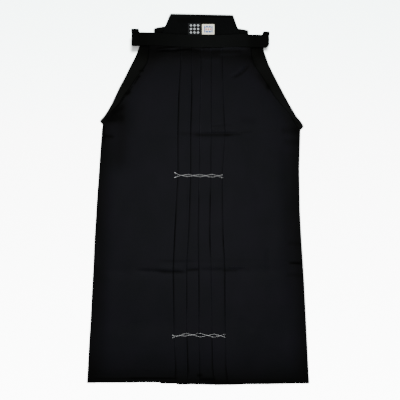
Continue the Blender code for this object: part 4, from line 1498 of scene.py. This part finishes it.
# painted shade over the whole board, so that its painted highlights can be paler than the cloth
BOARD_DIM = 0.18
BOARD_PALEST = -0.6
BOARD_SHADE_AND_HIGHLIGHTS = rows_of(
    Fold,
    # painted highlight on the rim at the left of the top edge, painted shadow in a dark line under it at the
    # right, a painted highlight in a streak below that, and two patches of painted shade
    (-99.9, 543.6, -11.4, 540.7, 0, 3, -0.7), (-5.5, 538.6, 118.4, 535.7, 0, 1.7, 0.75),
    (18.1, 532.7, 112.5, 530.6, 0, 1.7, -0.8), (-70.4, 528, -5.5, 525, 0, 8, 0.2),
    (100.7, 526.5, 133.2, 488.2, 0, 6, 0.15),
)
print("board at its lower edge:", BOARD[-1].right - BOARD[-1].left, "mm wide")


# %% The board's middle surface
def rounded(wide, across, soft):
    """Offsets from 0 to wide and the share of full thickness at each, round over soft at both ends.

    share = sqrt(1 - (1 - offset / soft)^2) near an end, and 1 between.
    """
    a = np.linspace(ROUND_FROM, math.pi / 2, ROUND_STEPS)
    edge = soft * (1 - np.cos(a))
    offsets = np.concatenate([edge, np.linspace(soft, wide - soft, across)[1:-1], wide - edge[::-1]])
    near = np.minimum(offsets, wide - offsets)
    return offsets, np.sqrt(1 - (1 - np.clip(near / soft, 0, 1)) ** 2)


def board_relief(x, y):
    """Folds of the board's cloth, and a ripple half as high and closer than the front's."""
    return fold_relief(x, y, BOARD_FOLDS) + 0.5 * ripple(x * BOARD_RIPPLE, y * BOARD_RIPPLE)


def board_middle():
    """Middle surface and thickness of the board; its folds move the face only."""
    down, row_share = rounded(BOARD_TOP_Y - BOARD_LOW_Y, BOARD_ROWS, BOARD_ROUND)
    y = (BOARD_TOP_Y - down)[:, None]
    left, right = (read(BOARD, name, y) for name in ("left", "right"))
    along, column_share = rounded(1.0, BOARD_COLUMNS, BOARD_ROUND / BOARD_WIDE)
    x = left + (right - left) * along
    y = y - BOARD_TOP_SKEW * along * ease(BOARD_SKEW_FROM, BOARD_TOP_Y, y)
    edge = row_share[:, None] * column_share
    relief = board_relief(x, y) * edge
    thick = BOARD_THICK * (BOARD_EDGE + (1 - BOARD_EDGE) * edge) + relief
    z = board_top(y) - BOARD_THICK / 2 + relief / 2
    return np.stack([x, y, z], axis=2), thick


middle, thick = board_middle()
print("board is", round(float(thick.min()), 1), "to", round(float(thick.max()), 1), "mm thick")

# %% Build the board
# the board's painted shade and highlights
dim = np.clip(BOARD_DIM - fold_relief(middle[:, :, 0], middle[:, :, 1], BOARD_SHADE_AND_HIGHLIGHTS), BOARD_PALEST, 1)
board_marks = {**plain_marks(middle), "shade": dim}
place("board", panel("board", middle, thick, board_marks), board_cloth, "back_board", "board_cloth")

# %% [markdown]
# ## The band
# The band is one flat strip of doubled cloth. It lies over the front straps, which are folded into packs
# behind it, and turns under at both ends. Its path in section is a flat oval: under run, half circle, top
# run, half circle, under run. One closed outline is carried along that path. A curve with a bevel would do
# nearly the same, but it can't give the lower edge its lip, which reaches down to the gathered front.

# %% Measures of the band
PACK_LAYERS = 3
FRONT_PACK_LAYER = 1.35
BACK_PACK_LAYER = 1.2
BAND_TURN = 40
BAND_TURN_STEPS = 14
BAND_STEPS = 240
BAND_UNDER_RUN = 12
BAND_CORNER = 14.0
BAND_ROUND = 1.3
BAND_NEAR_EDGE = (2, 4, 7, 10, 13, 16)
LIP_CLEAR = 0.5
LIP_FROM = 0.9
LIP_REACH = 1.9
LIP_ENDS = 187
LIP_ENDS_OVER = 6
LIP_MIDDLE = 6
LIP_STARTS_AT = 2
LIP_SHARE = (0.0, 0.45, 1.0, 1.0, 1.0, 0.30, 0.05)
LIP_PLACES = 4
# shade painted into the colour of the band's lower lip
LIP_SHADE = 0.5
FOLDS_START = 0.15
BAND_FOLDS = rows_of(
    Fold,
    (-192, 480, -150, 484, 0, 1.6, 0.5), (-176, 466, -120, 470, 1, 4, 0.3),
    (150, 476, 204, 470, -1, 4, 0.4), (176, 452, 206, 462, 0, 3, 0.4), (-60, 456, 20, 455, 0, 3, 0.3),
    (30, 462, 110, 459, 1, 4, 0.3), (-110, 478, -20, 479, 0, 5, 0.25),
)
print("band:", BAND_WIDE, "mm wide over", PACK_LAYERS, "layers of strap")


# %% The band's path
def band_path():
    """The band's path in section, as x, the height of its middle and the two parts of its normal.

    It is the under run, a half circle, the top run, a half circle and the under run again.
    """
    low = AIR / 2 + BAND_THICK / 2
    high = low + BAND_THICK + 2 * AIR + PACK_LAYERS * FRONT_PACK_LAYER
    radius = (high - low) / 2
    start = BAND_LEFT + BAND_THICK / 2 + radius
    end = BAND_RIGHT - BAND_THICK / 2 - radius
    top_x = np.linspace(start, end, BAND_STEPS)
    top_z = waist_bed(top_x, band_middle(top_x)) + high - low - BAND_THICK / 2
    a = np.linspace(0, math.pi, BAND_TURN_STEPS + 1)[1:-1]
    first = (top_z[0] - low) / 2
    last = (top_z[-1] - low) / 2
    x = [[BAND_LEFT + BAND_TURN, start + BAND_UNDER_RUN, start], start - first * np.sin(a), top_x]
    z = [[low] * 3, low + first * (1 - np.cos(a)), top_z]
    x += [end + last * np.sin(a), [end, end - BAND_UNDER_RUN, BAND_RIGHT - BAND_TURN]]
    z += [low + last * (1 + np.cos(a)), [low] * 3]
    x, z = np.concatenate(x), np.concatenate(z)
    run_x, run_z = np.gradient(x), np.gradient(z)
    long = np.hypot(run_x, run_z)
    return x, z, -run_z / long, run_x / long


band_long = float(np.hypot(np.diff(band_path()[0]), np.diff(band_path()[1])).sum()) * MM
print("band cut", BAND_WIDE * MM, "by", round(band_long, 3), "m, doubled")


# %% The band's outline
def band_outline():
    """The band's outline as across and height: under face, lower edge with its lip, upper face and back.

    Its places are given in mm from the middle or the edges. Both upper corners are quarter rounds:
    height = round sin t, and across = round cos t or a bit more.
    """
    half, thick = BAND_WIDE / 2, BAND_THICK / 2
    a = np.linspace(0, math.pi / 2, ROUND_STEPS)
    tip = -half - LIP_REACH
    near = [(-4, -thick), (-12, -thick), (-half + LIP_FROM, -thick)]
    near += [(-half - 0.3, -thick), (tip + 0.2, -thick), (tip, -thick + 0.3), (tip + 0.3, -thick + 0.9)]
    near += [(-half + 1.0 - 1.6 * math.cos(t), thick - BAND_ROUND + BAND_ROUND * math.sin(t)) for t in a]
    near += [(-half + d, thick) for d in BAND_NEAR_EDGE]
    far = [(4, -thick), (12, -thick), (half - 0.9, -thick)]
    far += [(half - 0.2, -thick + 0.2), (half, -thick + 0.6), (half, 0.0), (half, 0.3)]
    far += [
        (half - BAND_ROUND * (1 - math.cos(t)), thick - BAND_ROUND + BAND_ROUND * math.sin(t)) for t in a
    ]
    far += [(half - d, thick) for d in BAND_NEAR_EDGE]
    return np.array(near + far[::-1]).T


def lip_share(places):
    """Share of the lip's drop at each place of the outline."""
    share = np.zeros(places)
    share[LIP_STARTS_AT : LIP_STARTS_AT + len(LIP_SHARE)] = LIP_SHARE
    return share


print("places round the band:", band_outline().shape[1])


# %% The band's rings
def lip_bed(x):
    """Height of the front's upper edge along the band, as the highest of its places near x."""
    side = np.where(stack.x < 0, -right_side["fold"][-1], left_side["fold"][-1])
    top = stack.top[-1] + front_rise(stack.x, WAIST_Y, side)
    wide = np.max([np.roll(top, k) for k in range(-LIP_PLACES, LIP_PLACES + 1)], axis=0)
    return np.interp(x, stack.x, wide) + LIP_CLEAR


def band_rings():
    """Rings of the band: its outline set square to its path.

    The lip drops to the cloth that is sewn into the band, the lower corner at +X is cut to a quarter circle,
    the upper edge rises at -X, and the folds move the upper face only.
    """
    x, z, normal_x, normal_z = (part[:, None] for part in band_path())
    half, thick = BAND_WIDE / 2, BAND_THICK / 2
    across, height = (part[None, :] for part in band_outline())
    on_top = (normal_z > 0.5) * 1.0
    held = on_top * ease(LIP_ENDS, LIP_ENDS - LIP_ENDS_OVER, np.abs(x - LIP_MIDDLE))
    drop = np.maximum(0, z - thick - lip_bed(x)) * held
    height = height - drop * lip_share(across.shape[1])
    into = np.clip((x - BAND_RIGHT) / BAND_CORNER + 1, 0, 1)
    cut = BAND_CORNER * (1 - np.sqrt(1 - into**2)) * np.clip(-across / half, 0, 1)
    y = band_middle(x) + across + cut + band_rise(x) * np.clip(across / half, 0, 1)
    inner = np.clip(1 - np.abs(across) / half, 0, FOLDS_START) / FOLDS_START * (height > 0)
    relief = (fold_relief(x + 0 * y, y, BAND_FOLDS) + 0.5 * ripple(x * 2, y * 2)) * inner * on_top
    height = height + relief
    return np.stack([x + normal_x * height, y, z + normal_z * height], axis=2)


print("front's edge under the band:", round(float(lip_bed(0.0)), 1), "mm high")

# %% Build the band
# shade painted into the colour of the band and the packs, darker towards the band's ends
StrapShadeRow = namedtuple("StrapShadeRow", "x dark")
STRAP_SHADE = rows_of(
    StrapShadeRow,
    (-198, 0.58), (-165, 0.55), (-140, 0.44), (-110, 0.34), (-66, 0.27), (-25, 0.10), (10, 0.02), (70, 0.0),
    (105, 0.12), (145, 0.28), (170, 0.50), (210, 0.56),
)


def ring_mesh(name, rings, dim=0.0):
    """Closed mesh from rings along X, with the shade of the straps plus dim.

    Its flat map is the length along the piece by the length round the ring.
    """
    round_step = np.linalg.norm(np.diff(rings, axis=1, append=rings[:, :1]), axis=2)
    round_at = np.concatenate([np.zeros((len(rings), 1)), np.cumsum(round_step, axis=1)[:, :-1]], axis=1)
    flat = np.stack([rings[:, :, 0], round_at], axis=2).reshape(-1, 2)
    shade = np.clip(read(STRAP_SHADE, "dark", rings[:, :, 0]) + dim, 0, 1)
    marks = {"own": np.full(len(flat), MARK_FAR), "shade": shade.reshape(-1)}
    return mesh_of(name, rings.reshape(-1, 3), ring_faces(*rings.shape[:2]), flat, marks)


rings = band_rings()
band_mesh = ring_mesh("band", rings, LIP_SHADE * lip_share(rings.shape[1]))
item = place("band", band_mesh, strap_cloth, "front_band", "strap_cloth")
under = ("front_strap_right", "front_strap_left")

# %% [markdown]
# ## The folded straps
# Each of the four straps is folded to and fro into a pack. Its edges show as small half rounds, one over
# another, and its ends get thinner where the strap turns back. Single layers of strap would each need their
# own bends. From outside a pack is one body with grooves, so its outline is a stack of half circles, carried
# along X. Each groove wanders a little by a sine, since no strap is folded quite true.

# %% Measures of the straps
PackRow = namedtuple("PackRow", "x y_low y_high")
BACK_STRAP_RIGHT = rows_of(
    PackRow,
    (-130.2, 469, 502), (-122, 470, 505), (-100, 471, 509), (-60, 470, 500), (-2, 470, 499),
)
BACK_STRAP_LEFT = rows_of(
    PackRow,
    (146.5, 464, 497), (132, 466, 500), (112, 468, 503.5), (60, 470, 500), (0, 470, 499),
)
StrapRow = namedtuple("StrapRow", "start proud_to end proud")
FRONT_STRAP_RIGHT = StrapRow(-189.5, -173.5, -2, 9.8)
FRONT_STRAP_LEFT = StrapRow(201.5, 189.5, 2, 9.6)
FRONT_STRAP_ROWS = 30
PROUD_DROP = 0.85
PACK_BEHIND = 0.6
TabRow = namedtuple("TabRow", "beyond rise")
TAB = (TabRow(8.9, 0.0), TabRow(7.3, 1.4), TabRow(4.0, 1.9), TabRow(1.5, 1.9))
TAB_CLEAR = 0.65
print("front straps stand", FRONT_STRAP_RIGHT.proud, "and", FRONT_STRAP_LEFT.proud, "mm above the band")


# %% Where the front straps' edges run
def front_pack_rows(strap):
    """Edges of one front strap behind the band; its outer fold stands proud of the band's upper edge."""
    reach = strap.proud_to - strap.start
    places = [strap.start, strap.start + reach * PROUD_DROP, strap.proud_to]
    places += list(np.linspace(strap.proud_to, strap.end, FRONT_STRAP_ROWS)[1:])
    half = BAND_WIDE / 2 - PACK_BEHIND
    rows = []
    for tab in TAB:
        x = strap.start - math.copysign(tab.beyond, reach)
        top = float(band_middle(x) + band_rise(x)) + half
        rows.append(PackRow(x, top + TAB_CLEAR, top + strap.proud + tab.rise))
    for x in places:
        proud = strap.proud + TAB[-1].rise if abs(x - strap.start) < abs(reach) else 0
        middle = float(band_middle(x))
        rows.append(PackRow(x, middle - half, middle + float(band_rise(x)) + half + proud))
    return rows


print("rows of a front strap:", len(front_pack_rows(FRONT_STRAP_RIGHT)))

# %% The packs' rings
PACK_STEP = 3.0
PACK_END = ((0.0, 0.2), (0.25, 0.5), (0.8, 0.8), (1.6, 0.95), (2.6, 1.0))
PACK_GROOVE = 1.3
PACK_SKIN = 0.15
PACK_BULGE = 0.48
PACK_ROUND_STEPS = 7
PACK_LEAST_HALF = 0.2
PACK_FLAT = (17.0, 10.0, 5.0)
PACK_WANDER = 0.35
WANDER_LONG = 7.0
WANDER_STEP = 2.2
WANDER_WITHIN = 4


def pack_profile():
    """Half of a pack's outline as inset and level: flat under face, one half round a layer, flat top face.

    For a from -90 to 90 degrees, inset = skin + (groove - skin) (1 - cos a), and
    level = layer + 1/2 + bulge sin a.
    """
    a = np.linspace(-math.pi / 2, math.pi / 2, PACK_ROUND_STEPS)
    rounds = PACK_SKIN + (PACK_GROOVE - PACK_SKIN) * (1 - np.cos(a))
    levels = np.concatenate([k + 0.5 + PACK_BULGE * np.sin(a) for k in range(PACK_LAYERS)])
    levels[0], levels[-1] = 0, PACK_LAYERS
    inset = np.concatenate([PACK_FLAT, np.tile(rounds, PACK_LAYERS), PACK_FLAT[::-1]])
    return inset, np.concatenate([np.zeros(3), levels, np.full(3, PACK_LAYERS)])


def pack_places(first, last):
    """X of a pack's rings, and the share of its full thickness at each: close and thin at both ends."""
    long = abs(last - first)
    ends, shares = np.array(PACK_END).T
    inner = np.arange(long, ends[-1], -PACK_STEP)[::-1]
    inner = inner[(inner > ends[-1] + 1) & (inner < long - ends[-1] - 1)]
    along = np.concatenate([ends, inner, long - ends[::-1]])
    share = np.concatenate([shares, np.ones(len(inner)), shares[::-1]])
    return first + math.copysign(1.0, last - first) * along, share


def pack_rings(rows, layer, bed):
    """Rings of a folded strap along X: y = edge + inset + wander, and z = bed + layer * level."""
    x, share = (part[:, None] for part in pack_places(rows[0].x, rows[-1].x))
    inset, level = pack_profile()
    low, high = read(rows, "y_low", x), read(rows, "y_high", x)
    inset = np.minimum(inset, (high - low) / 2 - PACK_LEAST_HALF)
    height = layer * (PACK_LAYERS / 2 + (level - PACK_LAYERS / 2) * share)
    wander = PACK_WANDER * np.sin(x / WANDER_LONG + WANDER_STEP * np.floor(level)) * (inset < WANDER_WITHIN)
    y = np.concatenate([low + inset + wander, (high - inset - wander)[:, ::-1]], axis=1)
    x = np.broadcast_to(x, y.shape)
    return np.stack([x, y, both_faces(height) + bed(x, y)], axis=2)


print("places round a pack:", 2 * len(pack_profile()[0]))


# %% Build the straps
def on_table(x, y):
    """Height of the surface that the garment lies on, which is 0 everywhere."""
    return np.zeros(np.broadcast(x, y).shape)


front_kind = (FRONT_PACK_LAYER, waist_bed, "back_board")
back_kind = (BACK_PACK_LAYER, on_table, "floor")
PACKS = (
    ("front_pack_right", "front_strap_right", front_pack_rows(FRONT_STRAP_RIGHT), front_kind),
    ("front_pack_left", "front_strap_left", front_pack_rows(FRONT_STRAP_LEFT), front_kind),
    ("back_pack_right", "back_strap_right", BACK_STRAP_RIGHT, back_kind),
    ("back_pack_left", "back_strap_left", BACK_STRAP_LEFT, back_kind),
)
for name, node, rows, (layer, bed, under) in PACKS:
    item = place(name, ring_mesh(name, pack_rings(rows, layer, bed)), strap_cloth, node, "strap_cloth")

# %% [markdown]
# ## The two labels
# Two small woven labels are sewn side by side on the board. They follow its face, with edges as thin as
# folded ribbon. Their designs are made of cells on the flat map: a lattice of pale diamonds in a thin frame
# on the dark one, and blue bars round a row of small rose diamonds on the pale one. An image would be
# easier to draw, but cells stay sharp from near and need no file.

# %% The labels' middle surfaces
LabelRow = namedtuple("LabelRow", "left right top bottom")
LABEL_DARK = LabelRow(-30.5, 8.0, 518.4, 483.8)
LABEL_PALE = LabelRow(10.1, 48.9, 517.0, 483.9)
LABEL_THICK = 0.6
LABEL_ROUND = 0.8
LABEL_EDGE = 0.3
LABEL_SINKS = 0.2
LABEL_COLUMNS = 40
LABEL_ROWS = 36


def label_middle(row):
    """Middle surface and thickness of a label, which follows the board's face but spans its deep hollows."""
    along, column_share = rounded(row.right - row.left, LABEL_COLUMNS, LABEL_ROUND)
    down, row_share = rounded(row.top - row.bottom, LABEL_ROWS, LABEL_ROUND)
    x = row.left + along[None, :] + 0 * down[:, None]
    y = (row.top - down)[:, None] + 0 * along[None, :]
    z = board_top(y) + AIR + LABEL_THICK / 2 + np.maximum(board_relief(x, y), -LABEL_SINKS)
    thick = LABEL_THICK * (LABEL_EDGE + (1 - LABEL_EDGE) * row_share[:, None] * column_share)
    return np.stack([x, y, z], axis=2), thick


print("labels are", LABEL_THICK, "mm thick")


# %% Masks for the designs
def half_size(row):
    """Half of a label's width and height, in metres."""
    return (row.right - row.left) / 2 * MM, (row.top - row.bottom) / 2 * MM


def centred(recipe, row):
    """Place on a label from its centre, in metres."""
    middle = ((row.right - row.left) / 2 * MM, (row.top + row.bottom) / 2 * MM, 0)
    return recipe.vector("SUBTRACT", recipe.flat(), middle)


def box_mask(recipe, place, x, y, half_x, half_y):
    """1 inside a box and 0 outside: the larger of |x| / half_x and |y| / half_y is under 1."""
    folded = recipe.vector("ABSOLUTE", recipe.vector("SUBTRACT", place, (x, y, 0)))
    share = recipe.vector("DIVIDE", folded, (half_x, half_y, 1))
    parts = recipe.add("ShaderNodeSeparateXYZ", Vector=share)
    return recipe.number("LESS_THAN", recipe.number("MAXIMUM", (parts, "X"), (parts, "Y")), 1.0)


def diamond_mask(recipe, place, cell, half):
    """1 inside the diamonds of a square lattice: |u| + |v| < half, with u and v counted in cells."""
    middle = (0.5, 0.5, 0.5)
    part = recipe.vector("FRACTION", recipe.vector("ADD", recipe.scaled(place, 1 / cell), middle))
    folded = recipe.vector("ABSOLUTE", recipe.vector("SUBTRACT", part, middle))
    total = recipe.vector("DOT_PRODUCT", folded, (1.0, 1.0, 0.0), output="Value")
    return recipe.number("LESS_THAN", total, half)


def without(recipe, mask, hole):
    """A mask with a hole: mask * (1 - hole)."""
    return recipe.number("MULTIPLY", mask, recipe.number("SUBTRACT", 1.0, hole))


print("half of each label:", half_size(LABEL_DARK), half_size(LABEL_PALE))

# %% The labels' weave, and the dark label
DIAMOND_CELL = 0.0105
DIAMOND_HALF = 0.37
DIAMOND_CORE = 0.34
LATTICE_HALF = 1.5
DARK_GROUND, DARK_FRAME = (0.003, 0.0033, 0.0033), (0.016, 0.018, 0.018)
DARK_GEM, DARK_CORE = (0.48, 0.51, 0.52), (0.05, 0.055, 0.055)
FRAME_IN = (0.0015, 0.0009)
FRAME_WIDE = 0.0009
WEFT_APART = 0.003768
WEFT_HEIGHT = 0.00008
YARNS = 700.0


def woven(recipe, place, colour):
    """Finish of a woven label: its design, with shallow weft ribs as bump and slightly uneven yarn."""
    apart = WAVE_APART / WEFT_APART
    ribs = recipe.add(
        "ShaderNodeTexWave", {"bands_direction": "Y"}, Vector=place, Scale=apart, Distortion=0.4
    )
    yarn = recipe.noise(place, YARNS, 2.0)
    uneven = recipe.span(yarn, From_Min=0.3, From_Max=0.7, To_Min=0.86, To_Max=1.08)
    bump = recipe.add("ShaderNodeBump", Strength=0.4, Distance=WEFT_HEIGHT, Height=(ribs, "Fac"))
    return recipe.finish(
        Base_Color=recipe.scaled(colour, uneven), Normal=(bump, "Normal"),
        Roughness=0.75, Specular_IOR_Level=0.1,
    )


def dark_label_finish(row):
    """Nine pale diamonds with dark cores in a thin pale frame on near-black."""
    recipe = Recipe("dark_label")
    place = centred(recipe, row)
    half_x, half_y = half_size(row)
    field = box_mask(recipe, place, 0, 0, DIAMOND_CELL * LATTICE_HALF, DIAMOND_CELL * LATTICE_HALF)
    gem = recipe.number("MULTIPLY", diamond_mask(recipe, place, DIAMOND_CELL, DIAMOND_HALF), field)
    core = diamond_mask(recipe, place, DIAMOND_CELL, DIAMOND_HALF * DIAMOND_CORE)
    frame_x, frame_y = half_x - FRAME_IN[0], half_y - FRAME_IN[1]
    outer = box_mask(recipe, place, 0, 0, frame_x, frame_y)
    inner = box_mask(recipe, place, 0, 0, frame_x - FRAME_WIDE, frame_y - FRAME_WIDE)
    colour = over(recipe, recipe.number("SUBTRACT", outer, inner), DARK_GROUND, DARK_FRAME)
    colour = over(recipe, gem, colour, DARK_GEM)
    return woven(recipe, place, over(recipe, core, colour, DARK_CORE))


dark_label = dark_label_finish(LABEL_DARK)
print("dark label's cells are", DIAMOND_CELL, "m wide")

# %% The pale label
BLUE, CREAM = (0.025, 0.11, 0.40), (0.93, 0.90, 0.74)
# the olive rim round the cream ground is painted shade at the label's edges
ROSE, OLIVE_EDGE_SHADE = (0.50, 0.05, 0.10), (0.012, 0.012, 0.007)
PALE_RIM = (0.0009, 0.0019, 0.0019, 0.0008)
BARS_HALF = (0.0123, 0.0100)
HOLLOW_HALF = (0.0095, 0.0048)
ROSES_HALF = (0.0095, 0.0032)
BAR_CELL, BAR_GAP = 0.0082, 0.26
ROSE_CELL, ROSE_HALF = 0.0064, 0.46


def pale_label_finish(row):
    """Blue bars round a row of small rose diamonds on cream, inside an olive rim of painted edge shade."""
    recipe = Recipe("pale_label")
    place = centred(recipe, row)
    half_x, half_y = half_size(row)
    left, right, top, bottom = PALE_RIM
    ground = box_mask(
        recipe, place, (left - right) / 2, (bottom - top) / 2,
        half_x - (left + right) / 2, half_y - (top + bottom) / 2,
    )
    hollow = box_mask(recipe, place, 0, 0, *HOLLOW_HALF)
    bars = without(recipe, box_mask(recipe, place, 0, 0, *BARS_HALF), hollow)
    bars = without(recipe, bars, diamond_mask(recipe, place, BAR_CELL, BAR_GAP))
    gems = recipe.number("MULTIPLY", diamond_mask(recipe, place, ROSE_CELL, ROSE_HALF), hollow)
    gems = recipe.number("MULTIPLY", gems, box_mask(recipe, place, 0, 0, *ROSES_HALF))
    colour = over(recipe, ground, OLIVE_EDGE_SHADE, CREAM)
    colour = over(recipe, bars, colour, BLUE)
    return woven(recipe, place, over(recipe, gems, colour, ROSE))


pale_label = pale_label_finish(LABEL_PALE)
print("bars are", 2 * BARS_HALF[0], "by", 2 * BARS_HALF[1], "m outside")

# %% Build the labels
LABELS = (
    ("dark_tag", LABEL_DARK, "label_dark", "dark_label", dark_label),
    ("pale_tag", LABEL_PALE, "label_pale", "pale_label", pale_label),
)
for name, row, node, slot, finish in LABELS:
    middle, thick = label_middle(row)
    item = place(name, panel(name, middle, thick), finish, node, slot)

# %% [markdown]
# ## White basting
# New hakama come with their pleats basted. Here it is two threads in each of two places, running side by
# side across the pleats and crossing each other between them. Their ends spread a little and go into the
# cloth. A thread could be one smooth tube, but then it looks like wire. Each is therefore two plies laid
# round each other, which catch the light at every turn and are fluffed at the cut end.

# %% Where the threads run
StitchRow = namedtuple("StitchRow", "x first second")
UPPER_Y = 67.8
UPPER_BASTING = rows_of(
    StitchRow,
    (-71.5, 11.2, -5.4), (-69.2, 10.0, -4.4), (-61.8, 5.3, -1.8), (-49.4, 1.2, 1.2), (-39.7, -0.6, 2.9),
    (-29.9, -2.4, 5.3), (-20.2, -0.6, 2.7), (-15.2, 1.2, 1.2), (-4.0, 3.2, -1.2), (6.6, 4.1, -3.2),
    (15.2, 2.2, -0.9), (21.4, 0.9, 0.9), (31.1, -2.1, 3.8), (40.9, -3.5, 5.3), (49.0, -1.5, 2.7),
    (55.6, 0.6, 0.6), (64.0, 2.4, -2.7), (70.4, 3.2, -4.7), (74.2, 3.8, -5.6),
)
LOWER_Y = -402.7
LOWER_BASTING = rows_of(
    StitchRow,
    (-78.0, 3.4, -6.8), (-76.8, 2.7, -5.9), (-71.5, -0.1, -3.1), (-64.2, -1.2, -2.1), (-52.1, 1.8, 1.2),
    (-47.1, 3.5, -0.4), (-37.3, 6.5, -0.9), (-27.6, 4.7, 0.6), (-17.8, 2.7, 2.7), (-6.9, -0.3, 5.0),
    (4.3, -3.8, 6.8), (16.7, -2.1, 3.5), (28.8, 0.3, 0.3), (37.3, 3.2, -2.1), (47.0, 4.7, -4.7),
    (56.5, 2.1, -2.4), (64.2, -0.3, -0.3), (72.7, -3.2, 2.7), (80.1, -5.0, 4.7), (82.7, -5.6, 5.3),
)
print("threads are", [round(rows[-1].x - rows[0].x, 1) for rows in (UPPER_BASTING, LOWER_BASTING)], "mm long")

# %% A thread's path over the pleats
THREAD_STEP = 0.3
THREAD_CORNER = 2.5
CORNER_STEPS = 7
THREAD_CLEARS = 1.5
CLEAR_STEPS = 5
THREAD_SPANS = 4
SPAN_STEPS = 9
THREAD_DIVES = 2.6
DIVE_LONG = 2.5


def cloth_height(x, y):
    """Height of the front's upper face at x and y, along the section line that is nearest."""
    row = int(np.abs(ROWS - float(np.mean(y))).argmin())
    top = np.interp(x, stack.x, stack.top[row])
    side = np.where(x < 0, -right_side["fold"][row], left_side["fold"][row])
    return front_height(top, top, x, y, side)


def strand_path(rows, name, line, lift):
    """Path of one thread over the pleats: it spans their steps, and both ends go down into the cloth.

    Its height is the highest cloth within THREAD_CLEARS, or the mean of that over THREAD_SPANS, plus lift.
    """
    xs = np.arange(rows[0].x, rows[-1].x, THREAD_STEP)
    ys = line + column(rows, name, xs, THREAD_CORNER, CORNER_STEPS)
    z = cloth_height(xs, ys)
    clears = np.linspace(-THREAD_CLEARS, THREAD_CLEARS, CLEAR_STEPS)
    spans = np.linspace(-THREAD_SPANS, THREAD_SPANS, SPAN_STEPS)
    wide = np.max([np.interp(xs + step, xs, z) for step in clears], axis=0)
    z = np.maximum(np.mean([np.interp(xs + step, xs, wide) for step in spans], axis=0), wide) + lift
    for sign, end in ((1, xs[0]), (-1, xs[-1])):
        z = z - THREAD_DIVES * (1 - ease(0, DIVE_LONG, sign * (xs - end)))
    return np.stack([xs, ys, z], axis=1)


under_thread = float(cloth_height(np.zeros(1), np.full(1, UPPER_Y))[0])
print("cloth under the middle of the upper thread:", round(under_thread, 1), "mm high")

# %% Tubes along a path
PLY_RADIUS = 0.13
PLY_APART = 0.10
PLY_PITCH = 2.4
PLY_AROUND = 8
FRAY = 3.5
FRAY_LONG = 9.0
KNOT = 3.0


def square_to(path):
    """Two directions square to a path: side = run x up, and up = side x run."""
    run = np.gradient(path, axis=0)
    run = run / np.linalg.norm(run, axis=1, keepdims=True)
    side = np.cross(run, [0.0, 0.0, 1.0])
    side = side / np.linalg.norm(side, axis=1, keepdims=True)
    return side, np.cross(side, run)


def tube(path, radius):
    """Rings of a round tube along a path: path + radius (cos a side + sin a up)."""
    side, up = square_to(path)
    a = np.linspace(0, 2 * math.pi, PLY_AROUND, endpoint=False)[None, :, None]
    return path[:, None] + radius * (np.cos(a) * side[:, None] + np.sin(a) * up[:, None])


print("a ply is", 2 * PLY_RADIUS, "mm thick and turns once in", PLY_PITCH, "mm")


# %% Two plies round each other
def plies(path, knot_long):
    """Rings of the two plies of a thread, each a tube whose own path winds round the thread's.

    At the cut end, where the thread starts, the plies are loose: they lie FRAY times further apart, and
    they are fluffed to KNOT times their radius, which fades over knot_long.
    """
    side, up = square_to(path)
    along = np.concatenate([[0], np.cumsum(np.linalg.norm(np.diff(path, axis=0), axis=1))])
    turn = 2 * math.pi * along / PLY_PITCH
    apart = PLY_APART * (1 + (FRAY - 1) * (1 - ease(0, FRAY_LONG, along)))[:, None]
    radius = (PLY_RADIUS * (1 + (KNOT - 1) * (1 - ease(0, knot_long, along))))[:, None, None]
    found = []
    for start in (0.0, math.pi):
        wound = path + apart * (np.cos(turn + start)[:, None] * side + np.sin(turn + start)[:, None] * up)
        found.append(tube(wound, radius))
    return found


def joined_rings(groups):
    """Points and quads of several tubes as one mesh."""
    points, quads, base = [], [], 0
    for rings in groups:
        points.append(rings.reshape(-1, 3))
        faces = ring_faces(*rings.shape[:2])
        if signed_volume(points[-1], faces) < 0:
            faces = faces[:, ::-1]
        quads.append(faces + base)
        base += len(points[-1])
    return np.concatenate(points), np.concatenate(quads)


print("cut ends are", KNOT, "times as thick")

# %% Cotton, and the threads laid over the pleats
COTTON = ((0.3, (0.74, 0.75, 0.76)), (0.7, (0.88, 0.89, 0.89)))


def cotton_finish():
    """White cotton thread: two whites in fine clouds, matt."""
    recipe = Recipe("white_cotton")
    tint = recipe.ramp(recipe.noise(recipe.place(), FIBRES, 2.0), COTTON)
    return recipe.finish(Base_Color=tint, Roughness=0.8, Specular_IOR_Level=0.2)


white_cotton = cotton_finish()
STRANDS = (("first", 0.4), ("second", 0.75))
THREADS = (
    ("upper_basting", UPPER_BASTING, UPPER_Y, 14.0),
    ("lower_basting", LOWER_BASTING, LOWER_Y, 9.0),
)
for name, rows, line, knot_long in THREADS:
    groups = []
    for strand, lift in STRANDS:
        groups += plies(strand_path(rows, strand, line, lift), knot_long)
    points, quads = joined_rings(groups)
    place(name, mesh_of(name, points, quads, points[:, :2]), white_cotton, None, None)
    print(name, "has", len(quads), "faces")
